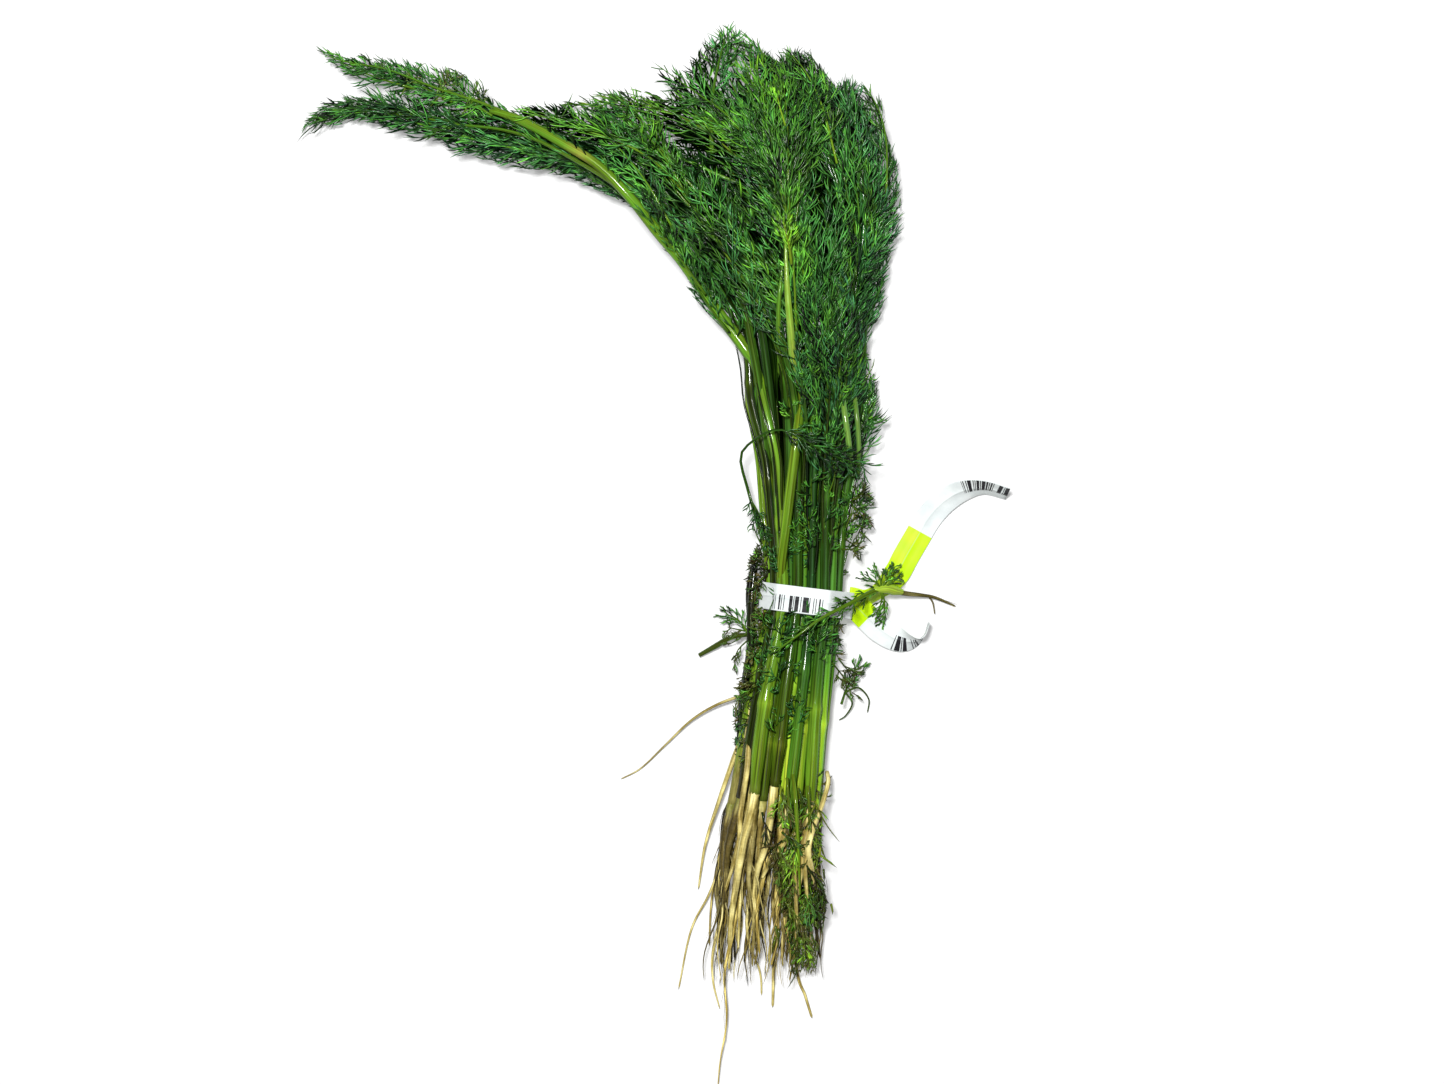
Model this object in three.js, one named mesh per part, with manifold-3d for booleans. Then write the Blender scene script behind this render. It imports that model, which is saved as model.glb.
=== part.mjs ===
// A bunch of dill pulled with its roots: 24 plants lying side by side, held by a paper twist tie.
// Millimetres, +Z up. The bunch lies on the plane z = 0 with its leaf tips towards +Y and its roots towards
// -Y. The origin is the middle of the flat underside of the tie.
import * as THREE from "three";
import { mergeVertices } from "three/addons/utils/BufferGeometryUtils.js";
import Module from "manifold-3d";

const wasm = await Module();
wasm.setup();

// ---------------------------------------------------------------- driving dimensions

const TIE_WIDTH = 12.7; // a half-inch ribbon
const TIE_THICKNESS = 0.8;
const TIE_TURN = -7; // degrees, how far the wrap is off square to the bundle
const TIE_SLACK = 0.5; // between the ribbon and the stems
const STEM_RADIUS = 2.3; // at the tie
const ROOT_GAP = 0.3; // between a stem's foot and its root
const CLEARANCE = 0.35; // between neighbouring pieces
const NEEDLE_LENGTH = 18;
const NEEDLE_RADIUS = 0.8; // at its base; it runs out to a point
const WHORL = 3; // length of rachis that a whorl of six needles grows from
const WHORL_STEP = 12; // between whorls along a spray
const SPRAY_RADIUS = 1.05;

// The bunch is a bundle of flow lines. Each guide is the line at one place across the bunch, from the left
// edge to the right edge, as [x, y, height of the bunch] at each station from the root tips to the leaf tips.
const GUIDES = [
  [[-66, -232, 4], [-57, -186, 6], [-47, -138, 11], [-34, -92, 20], [-25, -46, 25], [-16.5, 0, 25.6],
    [-19, 48, 24], [-23, 96, 24], [-35, 138, 26], [-78, 188, 24], [-148, 222, 18], [-246, 231, 12]],
  [[-40, -238, 5], [-38, -186, 12], [-33, -138, 20], [-25, -92, 27], [-18, -46, 27], [-9.9, 0, 25.6],
    [-11, 48, 27], [-13, 96, 30], [-24, 138, 34], [-58, 188, 36], [-122, 230, 28], [-226, 258, 16]],
  [[-27, -238, 5], [-26, -186, 13], [-21, -138, 22], [-15, -92, 28], [-10, -46, 28], [-3.3, 0, 25.6],
    [-3, 48, 28], [-2, 96, 33], [-7, 140, 40], [-26, 188, 44], [-56, 230, 40], [-102, 252, 22]],
  [[-17, -234, 5], [-13, -186, 13], [-10, -138, 22], [-7, -92, 28], [-2, -46, 28], [3.3, 0, 25.6],
    [4.5, 48, 28], [8, 96, 34], [7, 140, 41], [0, 186, 46], [-14, 230, 41], [-38, 276, 22]],
  [[-5, -226, 5], [-3, -186, 12], [-1, -138, 20], [1, -92, 27], [5, -46, 27], [9.9, 0, 25.6],
    [12, 48, 27], [17, 96, 31], [18, 138, 36], [20, 182, 40], [14, 224, 36], [2, 262, 20]],
  [[9, -215, 4], [6, -184, 9], [6, -138, 16], [7, -92, 23], [12, -46, 25], [16.5, 0, 25.6],
    [20, 48, 24], [26, 96, 25], [28, 138, 28], [34, 174, 29], [38, 212, 25], [34, 250, 15]],
];
const COLLAR = 3, TIE = 5, LEAVES = 8; // station numbers: where roots begin, the tie, where leaves begin
const FLOOR_GAP = 1.2; // under the lowest stems
const ROWS = [4, 5, 6, 5, 4]; // plants in each row of the bundle, from the bottom row up
const ACROSS = 0.4; // spacing in a row, where the bundle is 2 across
const ROW_RISE = 0.42; // spacing of the rows, where the bundle is 2 high
const SWIRL = 0.05; // radians that the bundle twists from one station to the next
const DRIFT = 0.035; // how far a plant wanders off its flow line from one station to the next
// Stations from where the leaves begin to the top of the tallest plants, from the left to the right edge.
const TOPS = [[3], [2.9], [3], [2.3], [2.7], [2.9], [3], [2.7], [3], [2.9], [2.9]];
const LONGEST_ROOT = 10; // the number of its plant

const LEAF_ROOM = 3; // that each plant keeps round it for its leaves

const STEM_SIDES = 5, STEM_RINGS = 7, ROOT_SIDES = 5;
const ROOT_RADIUS_SHARES = [1, 0.95, 0.75, 0.5, 0.38, 0.29, 0.21, 0.15]; // of the stem's, down the root

// The tie: where its two ends cross, at the right of the bundle, and the two tails from there. Each row is a
// point of the ribbon's middle line and the direction of its width there.
const CROSSING = { x: 23, z: 14 };
const UPPER_TAIL = [
  [22, 0, 14.6, 0.12, 1, 0], [28, -0.5, 11.5, -0.1, 0.8, 0.6], [33, 2, 8.8, -0.3, 0.45, 0.85],
  [39, 6.5, 6, -0.55, 0.4, 0.7], [45.5, 12.5, 2.6, -0.82, 0.55, 0.15], [50, 20.5, 1.2, -0.875, 0.48, 0],
  [55.5, 30, 1.2, -0.875, 0.48, 0], [61.5, 40, 1.8, -0.8, 0.6, 0.05], [69, 48, 4, -0.5, 0.8, 0.3],
  [78, 52.8, 6, -0.2, 0.75, 0.63], [88, 54, 6.9, 0, 0.5, 0.87], [99, 51, 6.9, 0.1, 0.4, 0.9],
];
const LOWER_TAIL = [
  [22, 0, 13.2, 0.12, 1, 0], [27, -4.5, 10.5, 0.45, 0.89, 0], [32, -9.5, 7.5, 0.66, 0.75, 0],
  [37.5, -14.5, 5, 0.66, 0.75, 0], [45.5, -19, 4.2, 0.5, 0.8, 0.33], [53.5, -20, 6, 0.15, 0.5, 0.85],
  [58.5, -17.5, 6.9, 0, 0.05, 1], [61, -11, 6.9, 0, 0, 1],
];
const TAIL_RINGS = 12, WRAP_STEPS = 30;

// The loose bits caught in the bundle, by the points of their middle lines.
const SPRIG_OVER = [[-23, 27, 10], [-28, 57, 17], [-30, 68.5, 23], [-24, 76, 30], [-14, 81, 37], [-5, 79, 39],
  [1.4, 75, 39.5], [14, 68.6, 38], [31.5, 63, 31]];
const SPRIG_IN_TIE = [[-16, -26, 31], [-1.5, -15.5, 33.5], [8, -8.5, 32.5], [18, -3.5, 29], [25, 0, 24.5],
  [32, 3.5, 19.5], [39, 5.5, 15], [46, 3.8, 10]];
const SPRIG_IN_TIE_ROOT = [[46.5, 3.6, 9.7], [50.5, 2.9, 8], [57, 2.2, 5.5], [64, 1, 3.5], [74.5, -3.4, 1.2]];
const SPRIG_IN_TIE_FORK = [[61, 1.6, 4.2], [63, -1.5, 3.4], [64, -7, 2.5]];
const SPRIG_LEFT = [[-26, -16.9, 10], [-29, -12, 8.5], [-33, -8.5, 6], [-38, -7, 4]];
const SPRIG_LEFT_STUB = [[-24, -16.5, 11], [-34, -18, 6], [-42, -22.5, 3.5], [-50, -27, 2.4]];
const SPRIG_RIGHT = [[18.5, -50, 13], [21, -43, 9], [24.5, -37, 6], [28, -31, 4]];
const SPRIG_RIGHT_TENDRILS = [
  [[20.5, -44.5, 9.6], [24, -50, 5], [21, -56, 2.5], [17.5, -58.5, 1.2]],
  [[20.5, -44.5, 9.6], [27, -42.5, 6], [32, -48, 3], [31.5, -55, 1.2]],
];
const SPRIGS_LOW = [
  [[-8, -84, 33], [-7, -105, 32], [-8, -128, 29], [-5, -150, 22], [-3, -172, 14]],
  [[2, -88, 31.5], [3, -108, 29], [3.5, -128, 24.5], [5, -152, 16]],
];
const STRAY_ROOT = [[-29, -46, 8], [-42, -51, 6], [-54, -58.5, 4], [-66, -70, 2.5], [-78, -81.5, 1.5],
  [-88, -87, 1]];

const LEAF_GREEN = 0x2f6b33, ROOT_CREAM = 0xcdbb8c, PAPER_WHITE = 0xf2f3ee;

// ---------------------------------------------------------------- small tools

// A repeatable number from 0 to 1 for a set of keys.
function chance(...keys) {
  const mixed = keys.reduce((sum, key, n) => sum + (key + 1) * [12.9898, 78.233, 37.719][n], 0);
  const large = Math.sin(mixed) * 43758.5453;
  return large - Math.floor(large);
}
const between = (low, high, ...keys) => low + (high - low) * chance(...keys);
const ease = (x) => { const c = THREE.MathUtils.clamp(x, 0, 1); return c * c * (3 - 2 * c); };

// Catmull-Rom through evenly spaced rows of numbers, straight past both ends.
function spline(rows, s) {
  const last = rows.length - 1;
  const inside = THREE.MathUtils.clamp(s, 0, last);
  const k = Math.min(Math.floor(inside), last - 1);
  const at = (n, c) => {
    if (n < 0) return 2 * rows[0][c] - rows[1][c];
    if (n > last) return 2 * rows[last][c] - rows[last - 1][c];
    return rows[n][c];
  };
  const f = inside - k;
  return rows[0].map((_, c) => {
    const [p, a, b, q] = [at(k - 1, c), at(k, c), at(k + 1, c), at(k + 2, c)];
    const here = 0.5 * (2 * a + (b - p) * f + (2 * p - 5 * a + 4 * b - q) * f * f
      + (3 * a - p - 3 * b + q) * f * f * f);
    return here + (s - inside) * (b - a);
  });
}

// The point of the bunch at u (left -1 to right 1), w (bottom -1 to top 1) and station t.
function place(u, w, t) {
  const [x, y, height] = spline(GUIDES.map((guide) => spline(guide, t)), 2.5 * (u + 1));
  return new THREE.Vector3(x, y, FLOOR_GAP * ease(t / COLLAR) + (height * (1 + w)) / 2);
}

// Points evenly spread along a fine line, or at the given distances along it.
function walk(line, distances) {
  const sums = [0];
  for (let n = 1; n < line.length; n++) sums.push(sums[n - 1] + line[n].distanceTo(line[n - 1]));
  return distances(sums[sums.length - 1]).map((d) => {
    let n = 1;
    while (n < line.length - 1 && sums[n] < d) n++;
    return line[n - 1].clone().lerp(line[n], (d - sums[n - 1]) / (sums[n] - sums[n - 1]));
  });
}
const evenly = (count) => (length) => Array.from({ length: count + 1 }, (_, n) => (length * n) / count);

// A tangent and two cross directions at each point of a line, carried along without twist.
function framesAlong(points) {
  const last = points.length - 1;
  let side = new THREE.Vector3(0, 0, 1);
  return points.map((p, n) => {
    const tangent = points[Math.min(n + 1, last)].clone().sub(points[Math.max(n - 1, 0)]).normalize();
    side = side.clone().addScaledVector(tangent, -side.dot(tangent)).normalize();
    return { tangent, side, cross: tangent.clone().cross(side) };
  });
}

// A closed solid from points and triangles.
function solid(points, triangles) {
  const geometry = new THREE.BufferGeometry().setFromPoints(points);
  geometry.setIndex(triangles.flat());
  return solidOf(geometry);
}

function solidOf(geometry) {
  geometry.deleteAttribute("normal");
  geometry.deleteAttribute("uv");
  const merged = mergeVertices(geometry, 1e-4);
  return new wasm.Manifold(new wasm.Mesh({
    numProp: 3,
    vertProperties: merged.attributes.position.array,
    triVerts: new Uint32Array(merged.index.array),
  }));
}

// Joins solids into one body, and drops any scrap that hangs loose from it.
function join(solids) {
  const bodies = solids.reduce((all, one) => all.add(one)).decompose();
  return bodies.reduce((best, body) => (body.volume() > best.volume() ? body : best)).simplify(0.01);
}

const bunch = new THREE.Group();
function addPiece(name, body, color, roughness) {
  const { numProp, numVert, vertProperties, triVerts } = body.getMesh();
  const xyz = new Float32Array(numVert * 3);
  for (let n = 0; n < numVert; n++) xyz.set(vertProperties.subarray(n * numProp, n * numProp + 3), n * 3);
  const geometry = new THREE.BufferGeometry();
  geometry.setAttribute("position", new THREE.BufferAttribute(xyz, 3));
  geometry.setIndex(new THREE.BufferAttribute(triVerts, 1));
  geometry.computeVertexNormals();
  const mesh = new THREE.Mesh(geometry, new THREE.MeshStandardMaterial({ color, roughness, metalness: 0 }));
  mesh.name = name;
  bunch.add(mesh);
}

// ---------------------------------------------------------------- keeping pieces clear of each other

const CELL = 12;
const cells = new Map(); // straight round limbs, by the cells of space that they touch

function cellsOf(limb, margin) {
  const box = new THREE.Box3().setFromPoints([limb.a, limb.b]).expandByScalar(margin);
  const keys = [];
  const low = box.min.divideScalar(CELL).floor(), high = box.max.divideScalar(CELL).floor();
  for (let i = low.x; i <= high.x; i++)
    for (let j = low.y; j <= high.y; j++)
      for (let k = low.z; k <= high.z; k++) keys.push(`${i},${j},${k}`);
  return keys;
}

function claim(limb) {
  for (const key of cellsOf(limb, limb.ra)) {
    if (!cells.has(key)) cells.set(key, []);
    cells.get(key).push(limb);
  }
}

// Where two segments come closest, as shares of their lengths, and how far apart they are there.
function closest(p, q) {
  const d1 = p.b.clone().sub(p.a), d2 = q.b.clone().sub(q.a), r = p.a.clone().sub(q.a);
  const a = d1.lengthSq(), e = d2.lengthSq(), b = d1.dot(d2), c = d1.dot(r), f = d2.dot(r);
  const spread = a * e - b * b;
  let s = spread > 1e-9 ? THREE.MathUtils.clamp((b * f - c * e) / spread, 0, 1) : 0;
  let t = (b * s + f) / e;
  if (t < 0 || t > 1) {
    t = THREE.MathUtils.clamp(t, 0, 1);
    s = THREE.MathUtils.clamp((b * t - c) / a, 0, 1);
  }
  const gap = p.a.clone().addScaledVector(d1, s).distanceTo(q.a.clone().addScaledVector(d2, t));
  return { s, t, gap };
}

// True if the limb keeps its clearance from every limb claimed so far, apart from its neighbours on its own
// spray and the stem that it grows from.
function isClear(limb, stem = null) {
  for (const key of cellsOf(limb, limb.ra + CLEARANCE)) {
    for (const other of cells.get(key) ?? []) {
      if (other.spray === limb.spray && Math.abs(other.ring - limb.ring) < 3) continue;
      if (other.spray === stem) continue;
      const { s, t, gap } = closest(limb, other);
      const thick = limb.ra + (limb.rb - limb.ra) * s + other.ra + (other.rb - other.ra) * t;
      if (gap < thick + CLEARANCE) return false;
    }
  }
  return true;
}

let sprays = 0;
const limbsOf = (points, radii, spray) => points.slice(1).map((b, n) => (
  { a: points[n], b, ra: radii[n], rb: radii[n + 1], spray, ring: n + 1 }));
const claimLine = (points, radii, spray) => limbsOf(points, radii, spray).forEach(claim);

// ---------------------------------------------------------------- shapes

// A round tapering limb with a flat start and a pointed or flat end.
function limb(points, radii, sides, pointed) {
  const frames = framesAlong(points);
  const vertices = points.flatMap((p, n) => Array.from({ length: sides }, (_, j) => {
    const angle = (2 * Math.PI * j) / sides;
    return p.clone().addScaledVector(frames[n].side, radii[n] * Math.cos(angle))
      .addScaledVector(frames[n].cross, radii[n] * Math.sin(angle));
  }));
  const triangles = [];
  const last = points.length - 1;
  for (let n = 0; n < last; n++)
    for (let j = 0; j < sides; j++) {
      const [a, b] = [n * sides + j, n * sides + ((j + 1) % sides)];
      triangles.push([a, b, b + sides], [a, b + sides, a + sides]);
    }
  for (let j = 1; j < sides - 1; j++) triangles.push([0, j + 1, j]);
  const end = last * sides;
  if (pointed) {
    const point = points[last].clone().addScaledVector(frames[last].tangent, 4 * radii[last]);
    const tip = vertices.push(point) - 1;
    for (let j = 0; j < sides; j++) triangles.push([end + j, end + ((j + 1) % sides), tip]);
  } else {
    for (let j = 1; j < sides - 1; j++) triangles.push([end, end + j, end + j + 1]);
  }
  return solid(vertices, triangles);
}

// A spray: a three-sided rachis with needles raised from its faces, swept towards its tip. The rings up to
// firstLeaf are the bare leafstalk. Needles are grown later, so that every spray gets its share of the room.
class Spray {
  constructor(points, radii, firstLeaf, reach = 1) {
    Object.assign(this, { points, radii, firstLeaf, reach, id: sprays++, needles: new Map() });
    this.frames = framesAlong(points);
    const last = points.length - 1;
    this.tip = points[last].clone().addScaledVector(this.frames[last].tangent, 0.7 * NEEDLE_LENGTH * reach);
    this.tip.z = Math.max(this.tip.z, 0);
  }

  limbs() {
    return limbsOf([...this.points, this.tip], [...this.radii, 0.1], this.id);
  }

  corner(n, j) {
    const { side, cross } = this.frames[n];
    const angle = (2 * Math.PI * j) / 3 + 0.9 * this.id;
    const point = this.points[n].clone().addScaledVector(side, this.radii[n] * Math.cos(angle))
      .addScaledVector(cross, this.radii[n] * Math.sin(angle));
    point.z = Math.max(point.z, 0);
    return point;
  }

  // The two triangles of face j between rings n and n + 1.
  halves(n, j) {
    const [a, b] = [3 * n + j, 3 * n + ((j + 1) % 3)];
    return [[a, b, b + 3], [a, b + 3, a + 3]];
  }

  grow() {
    const last = this.points.length - 1;
    for (let n = this.firstLeaf; n < last; n += 2) {
      const share = (n - this.firstLeaf) / (last - this.firstLeaf);
      for (let j = 0; j < 3; j++) for (const half of [0, 1]) this.growNeedle(n, j, half, share);
    }
  }

  growNeedle(n, j, half, share) {
    const base = this.halves(n, j)[half].map((k) => this.corner(Math.floor(k / 3), k % 3))
      .reduce((sum, corner) => sum.add(corner)).divideScalar(3);
    const { tangent } = this.frames[n];
    const faceAngle = (2 * Math.PI * (j + 0.5)) / 3 + 0.9 * this.id;
    const out = this.frames[n].side.clone().multiplyScalar(Math.cos(faceAngle))
      .addScaledVector(this.frames[n].cross, Math.sin(faceAngle));
    const sideways = tangent.clone().cross(out);
    const keys = [this.id, n, 2 * j + half];
    for (let tries = 0; tries < 8; tries++) {
      const lean = THREE.MathUtils.degToRad(between(24, 42, ...keys.map((key) => key + tries)));
      const turn = THREE.MathUtils.degToRad(between(16, 50, ...keys.map((key) => key + 9 + tries)));
      const length = this.reach * NEEDLE_LENGTH * (1 - 0.35 * share ** 3) * (1 - 0.08 * tries)
        * between(0.85, 1.15, ...keys);
      const aside = Math.sin(lean) * Math.sin(half ? -turn : turn);
      const tip = base.clone().addScaledVector(tangent, length * Math.cos(lean))
        .addScaledVector(out, length * Math.sin(lean) * Math.cos(turn))
        .addScaledVector(sideways, length * aside);
      if (tip.z < -2) continue;
      tip.z = Math.max(tip.z, 0);
      const needle = { a: base, b: tip, ra: NEEDLE_RADIUS, rb: 0.1, spray: this.id, ring: n };
      if (isClear(needle)) {
        claim(needle);
        this.needles.set(`${n},${j},${half}`, tip);
        return;
      }
    }
  }

  body() {
    const last = this.points.length - 1;
    const vertices = [];
    for (let n = 0; n <= last; n++) for (let j = 0; j < 3; j++) vertices.push(this.corner(n, j));
    const triangles = [[0, 2, 1]];
    for (let n = 0; n < last; n++)
      for (let j = 0; j < 3; j++)
        this.halves(n, j).forEach(([a, b, c], half) => {
          const tip = this.needles.get(`${n},${j},${half}`);
          if (!tip) {
            triangles.push([a, b, c]);
            return;
          }
          const top = vertices.push(tip) - 1;
          triangles.push([a, b, top], [b, c, top], [c, a, top]);
        });
    const end = vertices.push(this.tip) - 1;
    for (let j = 0; j < 3; j++) triangles.push([3 * last + j, 3 * last + ((j + 1) % 3), end]);
    return solid(vertices, triangles);
  }
}

// ---------------------------------------------------------------- the plants

const plants = ROWS.flatMap((count, row) => Array.from({ length: count }, (_, n) => ({
  u: ACROSS * (n - (count - 1) / 2),
  w: ROW_RISE * (row - (ROWS.length - 1) / 2),
}))).map(({ u, w }, id) => ({
  u,
  w,
  id,
  girth: between(0.82, 1.05, id, 1),
  collar: COLLAR + between(-0.25, 0.2, id, 2),
  top: spline(TOPS, 5 * (u + 1))[0] - between(0, 0.25, id, 3),
  rootEnd: id === LONGEST_ROOT ? 0 : between(0.7, 1.5, id, 4),
}));

// A plant's radius at station t, without its leaves.
function girthAt(plant, t) {
  const stem = STEM_RADIUS * plant.girth * spline([[1.1], [1], [0.85], [0.45], [0.3]], (t - COLLAR) / 2)[0];
  return t < plant.collar ? stem * Math.max(0.3, 1 - 0.5 * (plant.collar - t)) : stem;
}

// Where a plant would run in the bundle at station t, were there no others.
function slotOf({ id, u, w }, t) {
  const away = t - TIE;
  const turn = SWIRL * away;
  const drift = DRIFT * Math.abs(away) * Math.sin(1.1 * away + 6.283 * chance(id, 5));
  return [u * Math.cos(turn) - w * Math.sin(turn) + drift, u * Math.sin(turn) + w * Math.cos(turn)];
}

// The plants' points at station t, eased apart until none crowds another or the ground.
function settle(t) {
  const dots = plants.map((plant) => (
    { at: place(...slotOf(plant, t), t), r: girthAt(plant, t) + LEAF_ROOM * ease((t - LEAVES) / 2) }));
  for (let pass = 0; pass < 60; pass++) {
    dots.forEach((one, n) => dots.slice(n + 1).forEach((other) => {
      const gap = other.at.clone().sub(one.at);
      const lack = one.r + other.r + 2 * CLEARANCE - gap.length();
      if (lack <= 0) return;
      gap.setLength(lack / 2);
      one.at.sub(gap);
      other.at.add(gap);
    }));
    for (const { at, r } of dots) at.z = Math.max(at.z, r + FLOOR_GAP * ease(t / COLLAR));
  }
  return dots.map(({ at }) => at.toArray());
}
const settled = Array.from({ length: 23 }, (_, n) => settle(n / 2));
const stemAt = (plant, t) => new THREE.Vector3(...spline(settled.map((dots) => dots[plant.id]), 2 * t));

function fineLine(from, to, steps, pointAt) {
  return Array.from({ length: steps + 1 }, (_, n) => pointAt(from + ((to - from) * n) / steps, n / steps));
}

function growStem(plant) {
  const line = fineLine(plant.collar, LEAVES, 40, (t) => stemAt(plant, t));
  const points = walk(line, evenly(STEM_RINGS));
  const radii = points.map((_, n) => (
    girthAt(plant, plant.collar + ((LEAVES - plant.collar) * n) / STEM_RINGS)));
  plant.stem = sprays++;
  claimLine(points, radii, plant.stem);
  return limb(points, radii, STEM_SIDES, false);
}

// The taproot carries on down the plant's line and ends in a thread.
function growRoot(plant) {
  const rings = ROOT_RADIUS_SHARES.length - 1;
  const line = fineLine(plant.collar, plant.rootEnd, 60, (t) => stemAt(plant, t));
  const points = walk(line, (length) => evenly(rings)(length - ROOT_GAP).map((d) => d + ROOT_GAP));
  const radii = ROOT_RADIUS_SHARES.map((share) => share * girthAt(plant, plant.collar));
  points.forEach((point, n) => { point.z = Math.max(point.z, radii[n]); });
  claimLine(points, radii, sprays++);
  return limb(points, radii, ROOT_SIDES, true);
}

// Ring distances of a spray: a bare stalk in long steps, then two rings to each whorl.
function ringsOf(length, bare) {
  const stalk = Math.max(1, Math.round((bare * length) / 16));
  const whorls = Math.max(2, Math.round(((1 - bare) * length) / WHORL_STEP));
  const distances = [
    ...Array.from({ length: stalk }, (_, n) => (bare * length * n) / stalk),
    ...Array.from({ length: whorls }, (_, n) => bare * length + ((1 - bare) * length * n) / whorls)
      .flatMap((d) => [d, d + WHORL]),
  ];
  return { stalk, distances };
}

// The plant's own leafy top.
function growTop(plant) {
  const line = fineLine(LEAVES - 0.12, LEAVES + plant.top, 60, (t) => stemAt(plant, t));
  return sprayOn(plant, line, 0.02, 1);
}

function sprayOn(plant, line, bare, reach, mustClear = false) {
  let firstLeaf = 0;
  const points = walk(line, (length) => {
    const { stalk, distances } = ringsOf(length, bare);
    firstLeaf = stalk;
    return distances;
  });
  const thick = Math.min(SPRAY_RADIUS, girthAt(plant, LEAVES));
  const radii = points.map((_, n) => thick * (1 - 0.5 * (n / (points.length - 1))));
  points.forEach((point, n) => { point.z = Math.max(point.z, radii[n]); });
  const one = new Spray(points, radii, firstLeaf, reach);
  if (mustClear && !one.limbs().every((limb) => isClear(limb, plant.stem))) return null;
  one.limbs().forEach(claim);
  return one;
}

// A side spray from station t0 to t1. It leaves its plant in the first of several directions, starting from
// the wanted one, in which it meets no other stem.
function growSide(plant, t0, t1, direction, bare, reach, spread = 0.24) {
  for (let tries = 0; tries < 14; tries++) {
    const angle = direction + 0.35 * Math.ceil(tries / 2) * (tries % 2 ? 1 : -1);
    const [du, dw] = [spread * Math.cos(angle), spread * Math.sin(angle)];
    const line = fineLine(t0, t1, 60, (t, share) => {
      const away = ease(share * 1.2) + 0.35 * ease(share * 6);
      const [u, w] = slotOf(plant, t);
      const shift = place(u + du * away, w + dw * away, t).sub(place(u, w, t));
      return stemAt(plant, t).add(shift);
    });
    const one = sprayOn(plant, line, bare, reach, true);
    if (one) return one;
  }
  return null;
}

// ---------------------------------------------------------------- the tie

// A flat ribbon along a line of rows [x, y, z, and the direction of its width]. Both faces are split alike.
function ribbon(rows) {
  const points = [];
  const across = [];
  for (let n = 0; n <= TAIL_RINGS; n++) {
    const [x, y, z, ...wide] = spline(rows, ((rows.length - 1) * n) / TAIL_RINGS);
    points.push(new THREE.Vector3(x, y, z));
    across.push(new THREE.Vector3(...wide));
  }
  const vertices = points.flatMap((p, n) => {
    const ahead = points[Math.min(n + 1, TAIL_RINGS)].clone().sub(points[Math.max(n - 1, 0)]).normalize();
    const wide = across[n].addScaledVector(ahead, -across[n].dot(ahead)).normalize();
    const up = ahead.clone().cross(wide);
    return [[1, 1], [-1, 1], [-1, -1], [1, -1]].map(([i, j]) => p.clone()
      .addScaledVector(wide, (i * TIE_WIDTH) / 2).addScaledVector(up, (j * TIE_THICKNESS) / 2));
  });
  const triangles = [[0, 2, 1], [0, 3, 2]];
  for (let n = 0; n < TAIL_RINGS; n++) {
    const a = 4 * n, b = a + 4;
    triangles.push([a, a + 1, b + 1], [a, b + 1, b]);
    triangles.push([a + 1, a + 2, b + 2], [a + 1, b + 2, b + 1]);
    triangles.push([a + 3, b + 3, b + 2], [a + 3, b + 2, a + 2]);
    triangles.push([a + 3, a, b], [a + 3, b, b + 3]);
  }
  const end = 4 * TAIL_RINGS;
  triangles.push([end, end + 1, end + 2], [end, end + 2, end + 3]);
  for (let n = 1; n <= TAIL_RINGS; n++)
    for (const i of [-0.42, -0.14, 0.14, 0.42]) {
      const [a, b] = [n - 1, n].map((k) => points[k].clone().addScaledVector(across[k], i * TIE_WIDTH));
      claim({ a, b, ra: 2, rb: 2, spray: -1, ring: n });
    }
  return solid(vertices, triangles);
}

// The taut line of the wrap at a distance outside the stems: round the outer stems, out to the crossing, and
// flat underneath.
function wrapLine(distance, floor) {
  const rounds = plants.flatMap((plant) => [TIE - 0.2, TIE, TIE + 0.2].map((t) => {
    const { x, z } = stemAt(plant, t);
    return { x, z, r: girthAt(plant, t) };
  }));
  rounds.push({ ...CROSSING, r: 0 });
  return Array.from({ length: WRAP_STEPS }, (_, n) => {
    const angle = (2 * Math.PI * n) / WRAP_STEPS;
    const [i, k] = [Math.cos(angle), Math.sin(angle)];
    const outer = rounds.reduce((best, one) => (
      one.x * i + one.z * k + one.r > best.x * i + best.z * k + best.r ? one : best));
    const r = outer.r + distance;
    return new THREE.Vector2(outer.x + r * i, Math.max(outer.z + r * k, floor));
  });
}

function growTie() {
  const outline = new THREE.Shape(wrapLine(TIE_SLACK + TIE_THICKNESS, 0));
  outline.holes.push(new THREE.Path(wrapLine(TIE_SLACK, TIE_THICKNESS)));
  const turn = THREE.MathUtils.degToRad(TIE_TURN);
  const wrap = new THREE.ExtrudeGeometry(outline, { depth: TIE_WIDTH, bevelEnabled: false })
    .rotateX(Math.PI / 2).translate(0, TIE_WIDTH / 2, 0).rotateZ(turn);
  const line = wrapLine(TIE_SLACK + TIE_THICKNESS / 2, TIE_THICKNESS / 2);
  line.forEach((here, n) => {
    const next = line[(n + 1) % line.length];
    for (const y of [-5, -2.5, 0, 2.5, 5]) {
      const [a, b] = [here, next].map((p) => new THREE.Vector3(p.x, y + p.x * Math.tan(turn), p.y));
      claim({ a, b, ra: 2, rb: 2, spray: -1, ring: n });
    }
  });
  return join([solidOf(wrap), ribbon(UPPER_TAIL), ribbon(LOWER_TAIL)]);
}

// ---------------------------------------------------------------- the loose bits

const vectors = (rows, distances) => walk(
  Array.from({ length: 81 }, (_, n) => new THREE.Vector3(...spline(rows, ((rows.length - 1) * n) / 80))),
  distances);

function strand(rows, count, from, to, sides = 4) {
  const points = vectors(rows, evenly(count));
  const radii = points.map((_, n) => from + ((to - from) * n) / count);
  claimLine(points, radii, sprays++);
  return limb(points, radii, sides, true);
}

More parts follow.
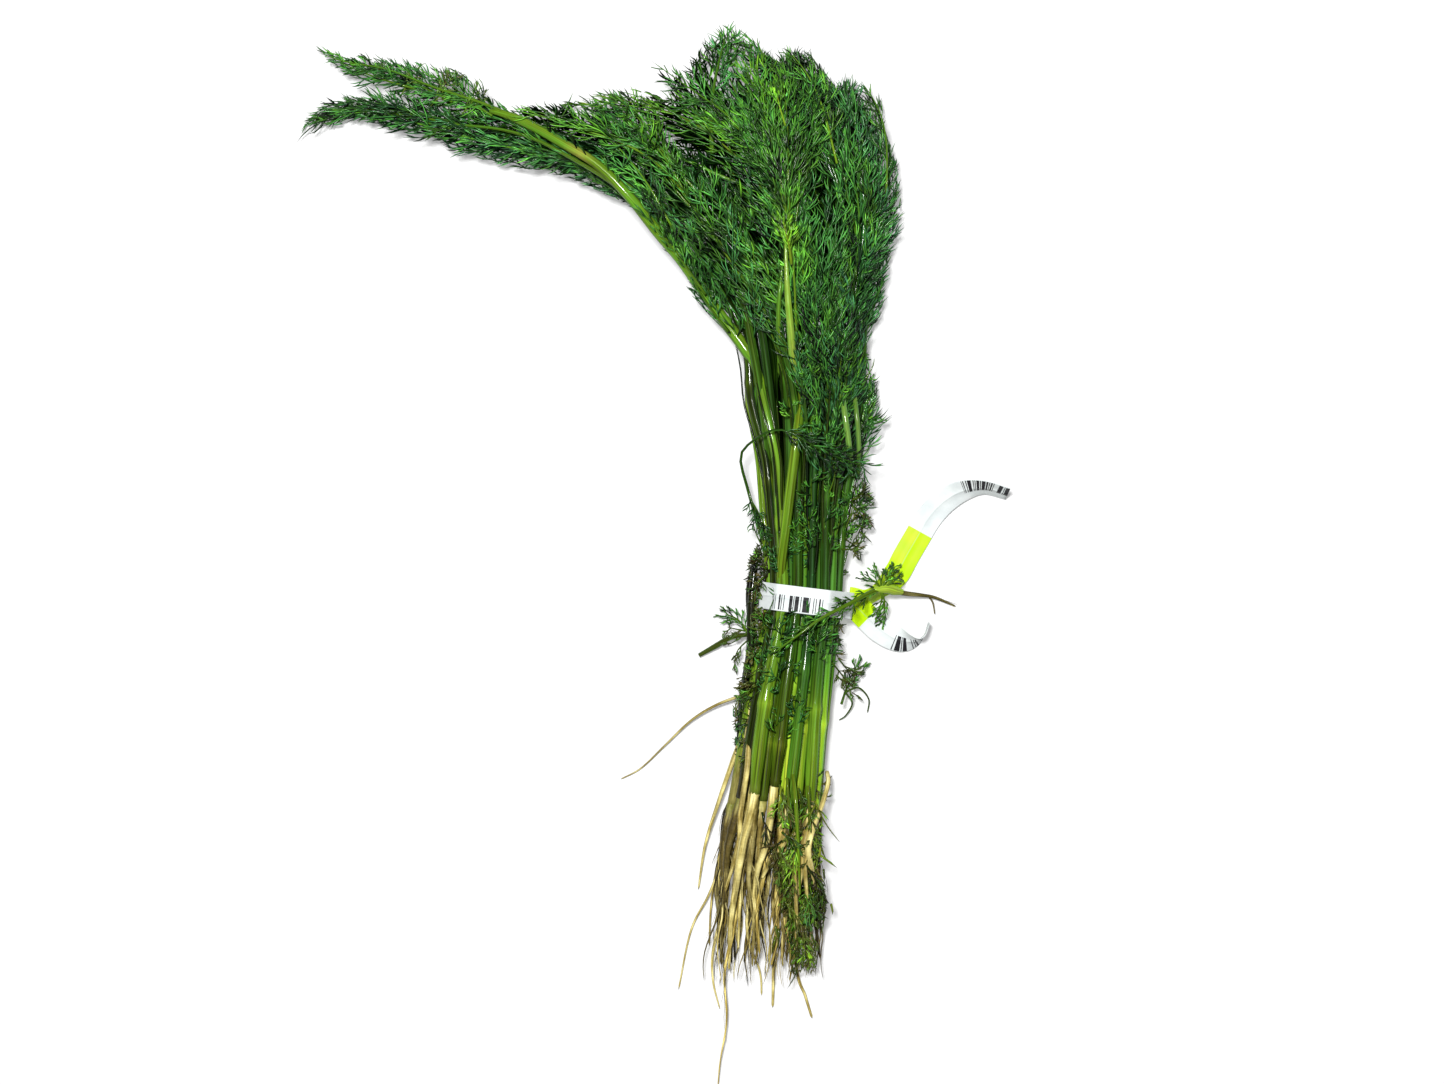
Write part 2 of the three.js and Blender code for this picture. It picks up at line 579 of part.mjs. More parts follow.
function sprig(rows, bare, reach, radius = 0.9) {
  let firstLeaf = 0;
  const points = vectors(rows, (length) => {
    const { stalk, distances } = ringsOf(length, bare);
    firstLeaf = stalk;
    return distances;
  });
  const radii = points.map((_, n) => radius * (1 - (0.5 * n) / points.length));
  const one = new Spray(points, radii, firstLeaf, reach);
  one.limbs().forEach(claim);
  return one;
}

// ---------------------------------------------------------------- the whole bunch

const stems = plants.map(growStem);
const roots = plants.map(growRoot);
const tie = growTie();
const strayRoot = strand(STRAY_ROOT, 9, 1, 0.45);
const tieRoot = [strand(SPRIG_IN_TIE_ROOT, 6, 1.5, 0.5), strand(SPRIG_IN_TIE_FORK, 3, 0.6, 0.35)];
const tendrils = SPRIG_RIGHT_TENDRILS.map((rows) => strand(rows, 5, 0.55, 0.35));
const stub = strand(SPRIG_LEFT_STUB, 3, 1.4, 1.7);
const sprigs = {
  sprig_over: sprig(SPRIG_OVER, 0.66, 0.6),
  sprig_in_tie: sprig(SPRIG_IN_TIE.slice().reverse(), 0.06, 0.75, 1.5),
  sprig_left: sprig(SPRIG_LEFT, 0.1, 0.5),
  sprig_right: sprig(SPRIG_RIGHT, 0.3, 0.6, 0.8),
  sprig_low_1: sprig(SPRIGS_LOW[0], 0.1, 0.75),
  sprig_low_2: sprig(SPRIGS_LOW[1], 0.1, 0.75),
};
const leaves = plants.map(growTop).map((top) => [top]);
plants.forEach((plant, n) => {
  const { id, u, w } = plant;
  const outward = Math.atan2(w, u);
  const side = (t, stations, turn, bare, reach, spread) => {
    leaves[n].push(growSide(plant, t, t + stations, outward + turn, bare, reach, spread));
  };
  const aside = between(1.6, 4.6, id, 9);
  if (Math.hypot(u, w) > 0.45) side(between(6.9, 7.3, id, 6), 1.9, between(-1, 1, id, 8), 0.22, 1, 0.2);
  side(between(8.1, 8.6, id, 7), 1.7, aside, 0.15, 1.1, 0.24);
  if (u > -0.5) side(between(8.9, 9.2, id, 10), 1.5, aside + 2.6, 0.1, 1.1, 0.3);
  if (u > 0.5) side(5.9, 1.3, 0, 0.25, 0.9, 0.25);
  if (u > 0.9) side(5.2, 0.85, 0, 0.3, 0.65, 0.5);
  if (u < -0.9) side(5.15, 0.8, 0, 0.1, 0.5, 0.3);
  leaves[n] = leaves[n].filter(Boolean);
});
[...Object.values(sprigs), ...leaves.flat()].forEach((one) => one.grow());

plants.forEach((plant, n) => {
  const number = String(plant.id + 1).padStart(2, "0");
  addPiece(`shoot_${number}`, join([stems[n], ...leaves[n].map((one) => one.body())]), LEAF_GREEN, 0.5);
  addPiece(`root_${number}`, roots[n], ROOT_CREAM, 0.7);
});
const fused = { sprig_left: [stub], sprig_right: tendrils };
for (const [name, one] of Object.entries(sprigs))
  addPiece(name, join([one.body(), ...(fused[name] ?? [])]), LEAF_GREEN, 0.5);
addPiece("sprig_in_tie_root", join(tieRoot), ROOT_CREAM, 0.7);
addPiece("stray_root", strayRoot, ROOT_CREAM, 0.7);
addPiece("tie", tie, PAPER_WHITE, 0.6);

export default bunch;
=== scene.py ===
# A bunch of dill with its roots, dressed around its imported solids. Lengths are in millimetres until a mesh is
# made. The bunch lies on the floor z = 0, its leaf tips towards +Y and its roots towards -Y.
import math

import bpy
import numpy as np
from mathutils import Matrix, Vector


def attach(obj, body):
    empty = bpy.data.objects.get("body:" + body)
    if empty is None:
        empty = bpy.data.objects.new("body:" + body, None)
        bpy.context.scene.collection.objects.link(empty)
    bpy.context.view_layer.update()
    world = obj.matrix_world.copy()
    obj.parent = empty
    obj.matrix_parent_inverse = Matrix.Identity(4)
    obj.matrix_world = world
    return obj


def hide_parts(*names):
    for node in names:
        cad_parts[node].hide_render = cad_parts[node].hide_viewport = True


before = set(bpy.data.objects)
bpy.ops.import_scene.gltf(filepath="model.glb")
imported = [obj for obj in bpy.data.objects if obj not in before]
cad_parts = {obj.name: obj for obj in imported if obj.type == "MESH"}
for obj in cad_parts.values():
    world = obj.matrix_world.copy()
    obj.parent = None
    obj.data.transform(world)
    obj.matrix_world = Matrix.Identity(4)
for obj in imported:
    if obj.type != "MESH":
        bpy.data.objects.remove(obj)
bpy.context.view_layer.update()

# ---------------------------------------------------------------- the flow lines of the bunch

# Six lines along the bunch from its left side to its right, as in the part's source. Each row is a station
# with x, y and the height of the bunch there.
GUIDES = np.array([
    [[-66, -232, 4], [-57, -186, 6], [-47, -138, 11], [-34, -92, 20], [-25, -46, 25], [-16.5, 0, 25.6],
     [-19, 48, 24], [-23, 96, 24], [-35, 138, 26], [-78, 188, 24], [-148, 222, 18], [-246, 231, 12]],
    [[-40, -238, 5], [-38, -186, 12], [-33, -138, 20], [-25, -92, 27], [-18, -46, 27], [-9.9, 0, 25.6],
     [-11, 48, 27], [-13, 96, 30], [-24, 138, 34], [-58, 188, 36], [-122, 230, 28], [-226, 258, 16]],
    [[-27, -238, 5], [-26, -186, 13], [-21, -138, 22], [-15, -92, 28], [-10, -46, 28], [-3.3, 0, 25.6],
     [-3, 48, 28], [-2, 96, 33], [-7, 140, 40], [-26, 188, 44], [-56, 230, 40], [-102, 252, 22]],
    [[-17, -234, 5], [-13, -186, 13], [-10, -138, 22], [-7, -92, 28], [-2, -46, 28], [3.3, 0, 25.6],
     [4.5, 48, 28], [8, 96, 34], [7, 140, 41], [0, 186, 46], [-14, 230, 41], [-38, 276, 22]],
    [[-5, -226, 5], [-3, -186, 12], [-1, -138, 20], [1, -92, 27], [5, -46, 27], [9.9, 0, 25.6],
     [12, 48, 27], [17, 96, 31], [18, 138, 36], [20, 182, 40], [14, 224, 36], [2, 262, 20]],
    [[9, -215, 4], [6, -184, 9], [6, -138, 16], [7, -92, 23], [12, -46, 25], [16.5, 0, 25.6],
     [20, 48, 24], [26, 96, 25], [28, 138, 28], [34, 174, 29], [38, 212, 25], [34, 250, 15]],
], float)
# Stations: the root tips are at 0, then come the collars, where roots and stems meet, the tie and the leaves.
COLLAR, TIE, LEAVES, LAST_STATION = 3, 5, 8, 11
# The gap above the floor, the gap between stems, the room round a stem for its leaves, and a stem's radius.
FLOOR_GAP, CLEARANCE, LEAF_ROOM, STEM_RADIUS = 1.2, 0.35, 3, 2.3
# How many plants each layer has from the bottom up, the steps from plant to plant and from layer to layer,
# and how the plants wind round the bunch: the turn for each station, and the sway.
ROWS, ACROSS, ROW_RISE, SWIRL, DRIFT = [4, 5, 6, 5, 4], 0.4, 0.42, 0.05, 0.035
# How far past LEAVES the tops reach from left to right, and how stems and roots thin out along their length.
TOPS = [[3], [2.9], [3], [2.3], [2.7], [2.9], [3], [2.7], [3], [2.9], [2.9]]
STEM_SHARES = [[1.1], [1], [0.85], [0.45], [0.3]]
ROOT_SHARES = [[1], [0.95], [0.78], [0.58], [0.48], [0.4], [0.3], [0.18]]
LONGEST_ROOT = 10
SETTLE_ROUNDS = 60
# The grid that the things on top are placed on, as seen from the camera.
STEP, ZERO_COLUMN, ZERO_ROW = 0.48, 803, 600
CAMERA_X, CAMERA_Y, CAMERA_HEIGHT = -38.64, 27.84, 1600.0


def spot(column, row, height):
    """A point that lies over a column and row of the grid, in steps of STEP from its upper left corner."""
    nearer = 1 - height / CAMERA_HEIGHT
    x, y = (column - ZERO_COLUMN) * STEP, (ZERO_ROW - row) * STEP
    return [CAMERA_X + (x - CAMERA_X) * nearer, CAMERA_Y + (y - CAMERA_Y) * nearer, height]


def spots(rows):
    return [spot(*row) for row in rows]


# The outline of the foliage from above, in columns and rows of the grid.
EDGE = np.array([
    (735, 800), (736, 760), (733, 725), (734, 690), (742, 660), (748, 635), (752, 610), (744, 585),
    (748, 562), (760, 540), (752, 510), (757, 470), (755, 426), (747, 390), (742, 360), (736, 342),
    (709, 314), (692, 298), (686, 268), (668, 250), (643, 214), (620, 196), (596, 187), (560, 173),
    (536, 166), (512, 165), (476, 156), (452, 153), (440, 137), (404, 138), (370, 120), (344, 116),
    (326, 124), (297, 134), (300, 115), (320, 99), (345, 92), (368, 94), (350, 80), (334, 66), (310, 43),
    (344, 48), (392, 56), (440, 62), (474, 70), (488, 90), (505, 106), (524, 102), (560, 97), (584, 88),
    (632, 85), (666, 92), (654, 74), (645, 54), (684, 67), (690, 55), (703, 40), (714, 30), (728, 18),
    (744, 28), (764, 39), (775, 58), (789, 41), (806, 44), (820, 58), (836, 83), (846, 76), (866, 72),
    (882, 93), (888, 132), (896, 146), (903, 190), (902, 228), (891, 258), (886, 300), (874, 335),
    (868, 345), (869, 366), (878, 378), (880, 400), (889, 414), (886, 430), (876, 454), (864, 472),
    (874, 496), (879, 512), (868, 548), (850, 590), (844, 640), (846, 664), (838, 740), (832, 800),
], float)
# The outline of the torn leaves among the roots.
LOW_EDGE = np.array([
    (776, 770), (830, 770), (829, 830), (819, 862), (829, 905), (822, 940), (815, 978), (792, 978),
    (786, 930), (772, 880), (760, 840), (768, 800),
], float)


def inside(points, edge):
    """Which points lie within an outline, seen from the camera. Without an outline they all do."""
    if edge is None:
        return np.ones(points.shape[:-1], bool)
    nearer = CAMERA_HEIGHT / (CAMERA_HEIGHT - points[..., 2])
    column = (CAMERA_X + (points[..., 0] - CAMERA_X) * nearer) / STEP + ZERO_COLUMN
    row = ZERO_ROW - (CAMERA_Y + (points[..., 1] - CAMERA_Y) * nearer) / STEP
    within = np.zeros(column.shape, bool)
    for (x1, y1), (x2, y2) in zip(edge, np.roll(edge, -1, 0)):
        crosses = (y1 > row) != (y2 > row)
        within ^= crosses & (column < (x2 - x1) * (row - y1) / (y2 - y1 if y1 != y2 else 1) + x1)
    return within


CHANCE_WAVES, CHANCE_SIZE = (12.9898, 78.233, 37.719), 43758.5453


def chance(*keys):
    """A repeatable number from 0 to 1."""
    large = math.sin(sum((key + 1) * wave for key, wave in zip(keys, CHANCE_WAVES))) * CHANCE_SIZE
    return large - math.floor(large)


def between(low, high, *keys):
    """A repeatable number from low to high."""
    return low + (high - low) * chance(*keys)


def ease(x):
    """A smooth step from 0 to 1."""
    x = np.clip(x, 0, 1)
    return x * x * (3 - 2 * x)


def unit(v):
    return v / np.maximum(np.linalg.norm(v, axis=-1, keepdims=True), 1e-9)


def spline(rows, s):
    """Catmull-Rom through evenly spaced rows, straight past both ends. rows may differ for each s."""
    rows, s = np.asarray(rows, float), np.atleast_1d(np.asarray(s, float))
    if rows.ndim == 2:
        rows = np.broadcast_to(rows, (len(s),) + rows.shape)
    last = rows.shape[1] - 1
    first_row, last_row = 2 * rows[:, :1] - rows[:, 1:2], 2 * rows[:, -1:] - rows[:, -2:-1]
    rows = np.concatenate([first_row, rows, last_row], axis=1)
    held = np.clip(s, 0, last)
    k = np.minimum(np.floor(held).astype(int), last - 1)
    f = (held - k)[:, None]
    p, a, b, q = (rows[np.arange(len(s)), k + n] for n in range(4))
    curve = 2 * a + (b - p) * f + (2 * p - 5 * a + 4 * b - q) * f * f + (3 * a - p - 3 * b + q) * f ** 3
    return 0.5 * curve + (s - held)[:, None] * (b - a)


def place(u, w, t):
    """The points of the bunch at u (left -1 to right 1), w (bottom -1 to top 1) and station t."""
    u, w, t = np.broadcast_arrays(*(np.atleast_1d(np.asarray(x, float)) for x in (u, w, t)))
    across = np.stack([spline(guide, t) for guide in GUIDES], axis=1)
    x, y, height = spline(across, 2.5 * (u + 1)).T
    return np.stack([x, y, FLOOR_GAP * ease(t / COLLAR) + height * (1 + w) / 2], axis=1)


class Plant:
    """A shoot with its root. u is its place across the bunch, from left -1 to right 1, and w its layer."""

    def __init__(self, row, n, index):
        self.id, self.name = index, f"{index + 1:02d}"
        self.u, self.w = ACROSS * (n - (ROWS[row] - 1) / 2), ROW_RISE * (row - (len(ROWS) - 1) / 2)
        self.girth = self.between(0.82, 1.05, 1)
        self.collar = COLLAR + self.between(-0.25, 0.2, 2)
        self.top = float(spline(TOPS, 5 * (self.u + 1))[0, 0]) - self.between(0, 0.25, 3)
        self.root_end = 0 if index == LONGEST_ROOT else self.between(0.7, 1.5, 4)

    def between(self, low, high, *keys):
        """The plant's own number from low to high."""
        return between(low, high, self.id, *keys)

    def radius(self, t):
        t = np.asarray(t, float)
        stem = STEM_RADIUS * self.girth * spline(STEM_SHARES, (t - COLLAR) / 2)[:, 0]
        return np.where(t < self.collar, stem * np.maximum(0.3, 1 - 0.5 * (self.collar - t)), stem)

    def slot(self, t):
        """The plant's u and w at station t: it winds round the bunch a little."""
        away = np.asarray(t, float) - TIE
        turn = SWIRL * away
        drift = DRIFT * np.abs(away) * np.sin(1.1 * away + 6.283 * chance(self.id, 5))
        return (self.u * np.cos(turn) - self.w * np.sin(turn) + drift,
                self.u * np.sin(turn) + self.w * np.cos(turn))

    def at(self, t):
        """The middle of the stem or root at station t. The plant's dots are half a station apart."""
        return spline(self.dots, 2 * np.atleast_1d(t))


PLANTS = []
for bundle_row, in_row in enumerate(ROWS):
    PLANTS += [Plant(bundle_row, n, len(PLANTS) + n) for n in range(in_row)]


def settle(t):
    """The plants' points at station t, eased apart until none crowds another or the floor."""
    slots = [plant.slot(t) for plant in PLANTS]
    dots = place([u for u, _ in slots], [w for _, w in slots], t).tolist()
    room = [float(plant.radius([t])[0] + LEAF_ROOM * ease((t - LEAVES) / 2)) for plant in PLANTS]
    floor = FLOOR_GAP * float(ease(t / COLLAR))
    for _ in range(SETTLE_ROUNDS):
        for n, a in enumerate(dots):
            for m in range(n + 1, len(dots)):
                b, need = dots[m], room[n] + room[m] + 2 * CLEARANCE
                gap = [b[c] - a[c] for c in range(3)]
                far = math.sqrt(gap[0] ** 2 + gap[1] ** 2 + gap[2] ** 2)
                if far >= need:
                    continue
                for c in range(3):
                    a[c] -= gap[c] * (need - far) / far / 2
                    b[c] += gap[c] * (need - far) / far / 2
        for dot, r in zip(dots, room):
            dot[2] = max(dot[2], r + floor)
    return dots


settled = np.array([settle(n / 2) for n in range(2 * LAST_STATION + 1)])
for plant in PLANTS:
    plant.dots = settled[:, plant.id]


class Line:
    """A fine line that is read at any distance along it, and runs straight on past its ends."""

    def __init__(self, points):
        self.points = np.asarray(points, float)
        self.sums = np.concatenate([[0], np.cumsum(np.linalg.norm(np.diff(self.points, axis=0), axis=1))])
        self.length = self.sums[-1]
        self.heads = unit(np.gradient(self.points, axis=0))

    def read(self, rows, d):
        return np.stack([np.interp(d, self.sums, rows[:, c]) for c in range(3)], axis=-1)

    def head(self, d):
        return unit(self.read(self.heads, d))

    def at(self, d):
        past = np.maximum(d - self.length, 0) + np.minimum(d, 0)
        return self.read(self.points, d) + past[..., None] * self.head(d)


LINE_POINTS = 81


def through(rows):
    """A line through a few points."""
    return Line(spline(rows, np.linspace(0, len(rows) - 1, LINE_POINTS)))


# ---------------------------------------------------------------- meshes

STEM, LEAF, SHADED_LEAF, DEEP_STEM = range(4)  # which of a shoot's materials a face has
FLOOR_LIFT, METRES = 0.1, 0.001
GRAIN_SHIFT, GRAIN_TURN = 37.0, 2.4  # limbs start at different places in the grain


def across_of(heads):
    """The level direction across each heading, and the direction square to both."""
    side = np.cross(heads, [0.0, 0.0, 1.0])
    side = np.where(np.linalg.norm(side, axis=-1, keepdims=True) < 0.05, [1.0, 0.0, 0.0], side)
    side = unit(side - heads * np.sum(side * heads, axis=-1, keepdims=True))
    return side, np.cross(side, heads)


class Part:
    """Gathers closed limbs for one object. A tone is (hue, light, age) of a vertex: hue runs from bluish to
    yellowish green, light from dark to pale, and age from green to cream or brown."""

    def __init__(self):
        self.points, self.faces, self.tones, self.grain, self.kinds, self.count = [], [], [], [], [], 0
        self.leaf_kind, self.edge = LEAF, None

    def add(self, points, faces, tones, grain, kind):
        self.points.append(points)
        self.faces.append(faces + self.count)
        self.tones.append(np.broadcast_to(tones, (len(points), 3)))
        self.grain.append(grain)
        self.kinds.append(np.full(len(faces), kind))
        self.count += len(points)

    def limbs(self, lines, radii, sides, tones, kind=STEM, pointed=True, phase=0.0):
        """Round limbs along lines (n, k, 3) with radii (n, k) and tones (n, 3) or (n, k, 3)."""
        lines, radii = np.asarray(lines, float), np.broadcast_to(radii, np.shape(lines)[:2])
        lift = np.maximum(radii + FLOOR_LIFT - lines[..., 2], 0)
        lines = lines + np.stack([0 * radii, 0 * radii, lift], axis=-1)
        n, k, _ = lines.shape
        heads = unit(np.gradient(lines, axis=1))
        side, up = across_of(heads)
        angle = 2 * math.pi * np.arange(sides) / sides + phase
        ring = np.cos(angle)[:, None] * side[:, :, None] + np.sin(angle)[:, None] * up[:, :, None]
        points = lines[:, :, None] + radii[:, :, None, None] * ring
        tones = np.asarray(tones, float)
        tones = np.broadcast_to(tones if tones.ndim == 3 else tones[:, None], (n, k, 3))
        tones = np.broadcast_to(tones[:, :, None], (n, k, sides, 3))
        far = np.cumsum(np.linalg.norm(np.diff(lines, axis=1, prepend=lines[:, :1]), axis=2), axis=1)
        far = far + GRAIN_SHIFT * np.sin(np.arange(n) * GRAIN_TURN)[:, None]
        grain = np.stack(np.broadcast_arrays(np.cos(angle), np.sin(angle), far[:, :, None]), axis=-1)
        size = k * sides - (sides - 1 if pointed else 0)
        points, tones, grain = (a.reshape(n, k * sides, 3)[:, :size] for a in (points, tones, grain))
        if pointed:
            points = points.copy()
            points[:, -1] = lines[:, -1]
        faces = limb_faces(k, sides, pointed)
        faces = (faces[None] + size * np.arange(n)[:, None, None]).reshape(-1, 3)
        self.add(points.reshape(-1, 3), faces, tones.reshape(-1, 3), grain.reshape(-1, 3), kind)

    def finish(self, name, slot, node, materials):
        """Makes the object, in metres, which stands for the node."""
        mesh = bpy.data.meshes.new(name)
        points, faces = np.concatenate(self.points) * METRES, np.concatenate(self.faces)
        mesh.vertices.add(len(points))
        mesh.vertices.foreach_set("co", points.astype(np.float32).ravel())
        mesh.loops.add(faces.size)
        mesh.loops.foreach_set("vertex_index", faces.astype(np.int32).ravel())
        mesh.polygons.add(len(faces))
        mesh.polygons.foreach_set("loop_start", np.arange(0, faces.size, 3, dtype=np.int32))
        mesh.polygons.foreach_set("material_index", np.concatenate(self.kinds).astype(np.int32))
        mesh.polygons.foreach_set("use_smooth", np.ones(len(faces), bool))
        for material in materials:
            mesh.materials.append(material)
        mesh.update(calc_edges=True)
        for label, rows in (("tone", self.tones), ("grain", self.grain)):
            rows = np.concatenate(rows).astype(np.float32)
            layer = mesh.attributes.new(label, "FLOAT_VECTOR", "POINT")
            layer.data.foreach_set("vector", rows.ravel())
        piece = bpy.data.objects.new(name, mesh)
        bpy.context.scene.collection.objects.link(piece)
        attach(piece, "root")
        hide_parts(node)


def tube_faces(n, m, closed=False):
    """The triangles round a tube of n rings of m points. A closed tube's last ring is joined to its first."""
    faces = []
    for i in range(n if closed else n - 1):
        for j in range(m):
            a, b = i * m + j, i * m + (j + 1) % m
            c, d = (i + 1) % n * m + j, (i + 1) % n * m + (j + 1) % m
            faces += [[a, b, d], [a, d, c]]
    return faces


def limb_faces(k, sides, pointed):
    """The triangles of a closed limb of k rings, whose last ring is one point if it is pointed."""
    rings = k - 1 if pointed else k
    faces = [[0, j + 1, j] for j in range(1, sides - 1)] + tube_faces(rings, sides)
    end = (rings - 1) * sides
    if pointed:
        faces += [[end + j, end + (j + 1) % sides, end + sides] for j in range(sides)]
    else:
        faces += [[end, end + j, end + j + 1] for j in range(1, sides - 1)]
    return np.array(faces)


# ---------------------------------------------------------------- leaves

THREAD_GIRTH, DEEP_THREAD_GIRTH = 0.4, 0.5
THREAD_SHAPE = [0.9, 1.0, 0.8, 0.25]
# Along each thread: darker at the base, where the threads cover each other, which is painted shade; lighter at
# the tip.
THREAD_SHADE_STEPS = np.outer([-2, 0.5, 1.5, 2], [0.02, 0.055, 0])  # dark at the base, light at the tip
PINNA_STEPS = 8
PINNA_GIRTH = np.linspace(0.42, 0.24, PINNA_STEPS + 1)
BARE_BASE = 2.0  # how far up a pinna its threads start
# A thread's angles at its start and end, as mean and spread, and how its length varies.
START_ANGLE, END_ANGLE, THREAD_LENGTHS = (0.52, 0.1), (0.0, 0.12), (0.75, 1.2)
OUTER_KEPT, INNER_KEPT = 0.85, 0.4  # the shares of the threads that fork outwards and inwards


def curls(base, ahead, side, length, first, last):
    """Bent threads that leave base between ahead and side, turning from the angle first to last."""
    points = [base]
    for share in (0.1, 0.6, 1.0):
        angle = (first + (last - first) * share)[:, None]
        points.append(points[-1] + length[:, None] / 3 * (np.cos(angle) * ahead + np.sin(angle) * side))
    return np.stack(points, axis=1)


def threads(part, rng, lines, tones):
    """The leaf's finest limbs, of four points each."""
    girth = THREAD_GIRTH if part.leaf_kind == LEAF else DEEP_THREAD_GIRTH
    girth = girth * rng.uniform(0.8, 1.2, len(lines))
    shade = tones + rng.normal(0, [0.07, 0.08, 0.0], tones.shape)
    radii = girth[:, None] * THREAD_SHAPE
    part.limbs(lines, radii, 3, shade[:, None] + THREAD_SHADE_STEPS, part.leaf_kind, True, rng.uniform(0, 2))


def tuft_bases(rng, pinnae, lengths, every):
    """Where the threads leave: each one's pinna, share along it, hand, point and the pinna's heading."""
    count = np.maximum(((lengths - BARE_BASE) / every).astype(int), 1)
    which = np.repeat(np.arange(len(pinnae)), count)
    order = np.arange(len(which)) - np.repeat(np.cumsum(count) - count, count)
    along = BARE_BASE + every * (order + rng.uniform(-0.2, 0.2, len(which)))
    share = np.clip(along / lengths[which], 0, 0.97)
    k = np.minimum((share * PINNA_STEPS).astype(int), PINNA_STEPS - 1)
    a, b = pinnae[which, k], pinnae[which, k + 1]
    base = a + (b - a) * (share * PINNA_STEPS - k)[:, None]
    return which, share, np.where(order % 2, 1.0, -1.0)[:, None], base, unit(b - a)


def tufts(part, rng, pinnae, lengths, normals, tone, reach, every, loft):
    """Forked threads on alternate sides all along the pinnae (n, k, 3)."""
    which, share, hand, base, ahead = tuft_bases(rng, pinnae, lengths, every)
    square = unit(np.cross(normals[which], ahead))
    lift = rng.normal(*loft, len(which))[:, None]
    side = unit(square * hand * np.cos(lift) + normals[which] * np.sin(lift))
    length = reach * (1.0 - 0.35 * share) * rng.uniform(*THREAD_LENGTHS, len(which))
    first, second = rng.normal(*START_ANGLE, len(which)), rng.normal(*END_ANGLE, len(which))
    main = curls(base, ahead, side, length, first, second)
    outer = base + (main[:, 1] - base) * rng.uniform(0.55, 0.95, len(which))[:, None]
    outer = curls(outer, ahead, side, 0.6 * length, first + 0.2, second + 0.25)
    inner = main[:, 1] + (main[:, 2] - main[:, 1]) * rng.uniform(0.0, 0.6, len(which))[:, None]
    inner = curls(inner, ahead, side, 0.5 * length, second + 0.05, second - 0.2)
    for lines, kept in ((main, 1.0), (outer, OUTER_KEPT), (inner, INNER_KEPT)):
        keep = inside(lines[:, 2], part.edge) & (rng.random(len(lines)) < kept)
        threads(part, rng, lines[keep], tone[which][keep])


def stalk_limb(part, points, radii, tones):
    """A leaf's stalk, as far as it lies within the outline."""
    n = max(4, int(np.cumprod(inside(points, part.edge)).sum()))
    part.limbs(points[None, :n], radii[None, :n], 6, tones[None, :n])


def pinna_sizes(rng, line, d, bare, width):
    """The lengths of the pinnae at the distances d: less at the leaf's base and towards its tip."""
    x = np.clip((d - line.length * bare) / (line.length * (1 - bare)), 0, 1)
    swell = (0.55 + 0.45 * np.minimum(1, x / 0.25)) * (1 - 0.5 * np.clip((x - 0.28) / 0.72, 0, 1) ** 1.4)
    widths = np.atleast_1d(np.asarray(width, float))
    widths = np.interp(d / line.length, np.linspace(0, 1, len(widths)), widths)
    return widths * swell * rng.uniform(0.85, 1.1, len(d))


def pinna_axes(rng, line, d, lengths, lean, tilt):
    """The axes (n, k, 3) of pinnae on both sides of the line, swept forward, and the leaf's normals there."""
    hand = np.tile([1.0, -1.0], len(d) // 2)[:, None, None]
    along = np.linspace(0, 1, PINNA_STEPS + 1)
    theta = (lean + rng.normal(0, 0.07, len(d)))[:, None] * (1 - 0.7 * along)
    heads = line.head(d[:, None] + 0.9 * lengths[:, None] * along)
    level, up = across_of(heads)
    roll = (tilt + rng.normal(0, 0.12, len(d)))[:, None, None]
    side = (level * np.cos(roll) - up * np.sin(roll)) * hand
    normal = up * np.cos(roll) + level * np.sin(roll)
    wave = rng.normal(0.03, 0.08, (len(d), 1, 1)) * np.sin(3 * along)[:, None]
    steps = unit(np.cos(theta)[..., None] * heads + np.sin(theta)[..., None] * side + wave * normal)
    steps = steps * (lengths / PINNA_STEPS)[:, None, None]
    drawn = np.concatenate([0 * steps[:, :1], np.cumsum(steps[:, :-1], axis=1)], axis=1)
    return line.at(d)[:, None] + drawn, normal[:, PINNA_STEPS // 2]


def frond(part, rng, line, width, tone, tilt=0.0, bare=0.1, gap=12.0, reach=12.5, lean=0.55, every=2.3,
          stalk=0.6, stalk_tone=(0.12, 0.03, 0.0)):
    """A leaf: a rachis along the line, pinnae in pairs, and forked threads along them, all swept forward.
    width is the pinnae's length, or several lengths evenly along the leaf."""
    tone = np.asarray(tone, float)
    rings = np.linspace(0, line.length, max(8, int(line.length / 5)))
    share = rings / line.length
    stalk_limb(part, line.at(rings), stalk * (1 - 0.72 * share), tone + np.outer(1 - share, stalk_tone))
    span = line.length * (1 - bare)
    pairs = max(2, int(span / gap))
    d = line.length * bare + 0.95 * span * np.repeat((np.arange(pairs) + 0.5) / pairs, 2)
    d = d + rng.normal(0, gap * 0.1, 2 * pairs)
    lengths = pinna_sizes(rng, line, d, bare, width)
    pinnae, normals = pinna_axes(rng, line, d, lengths, lean, tilt)
    feathers(part, rng, pinnae, lengths, normals, tone, reach, every, (0.1, 0.25), min(1.0, stalk / 0.6))


def shortened(pinnae, reached):
    """Pinnae that end after the first so many of their points."""
    at = np.linspace(0, 1, PINNA_STEPS + 1) * (reached[:, None] - 1)
    k = np.minimum(at.astype(int), PINNA_STEPS - 1)
    rows = np.arange(len(pinnae))[:, None]
    return pinnae[rows, k] + (pinnae[rows, k + 1] - pinnae[rows, k]) * (at - k)[..., None]


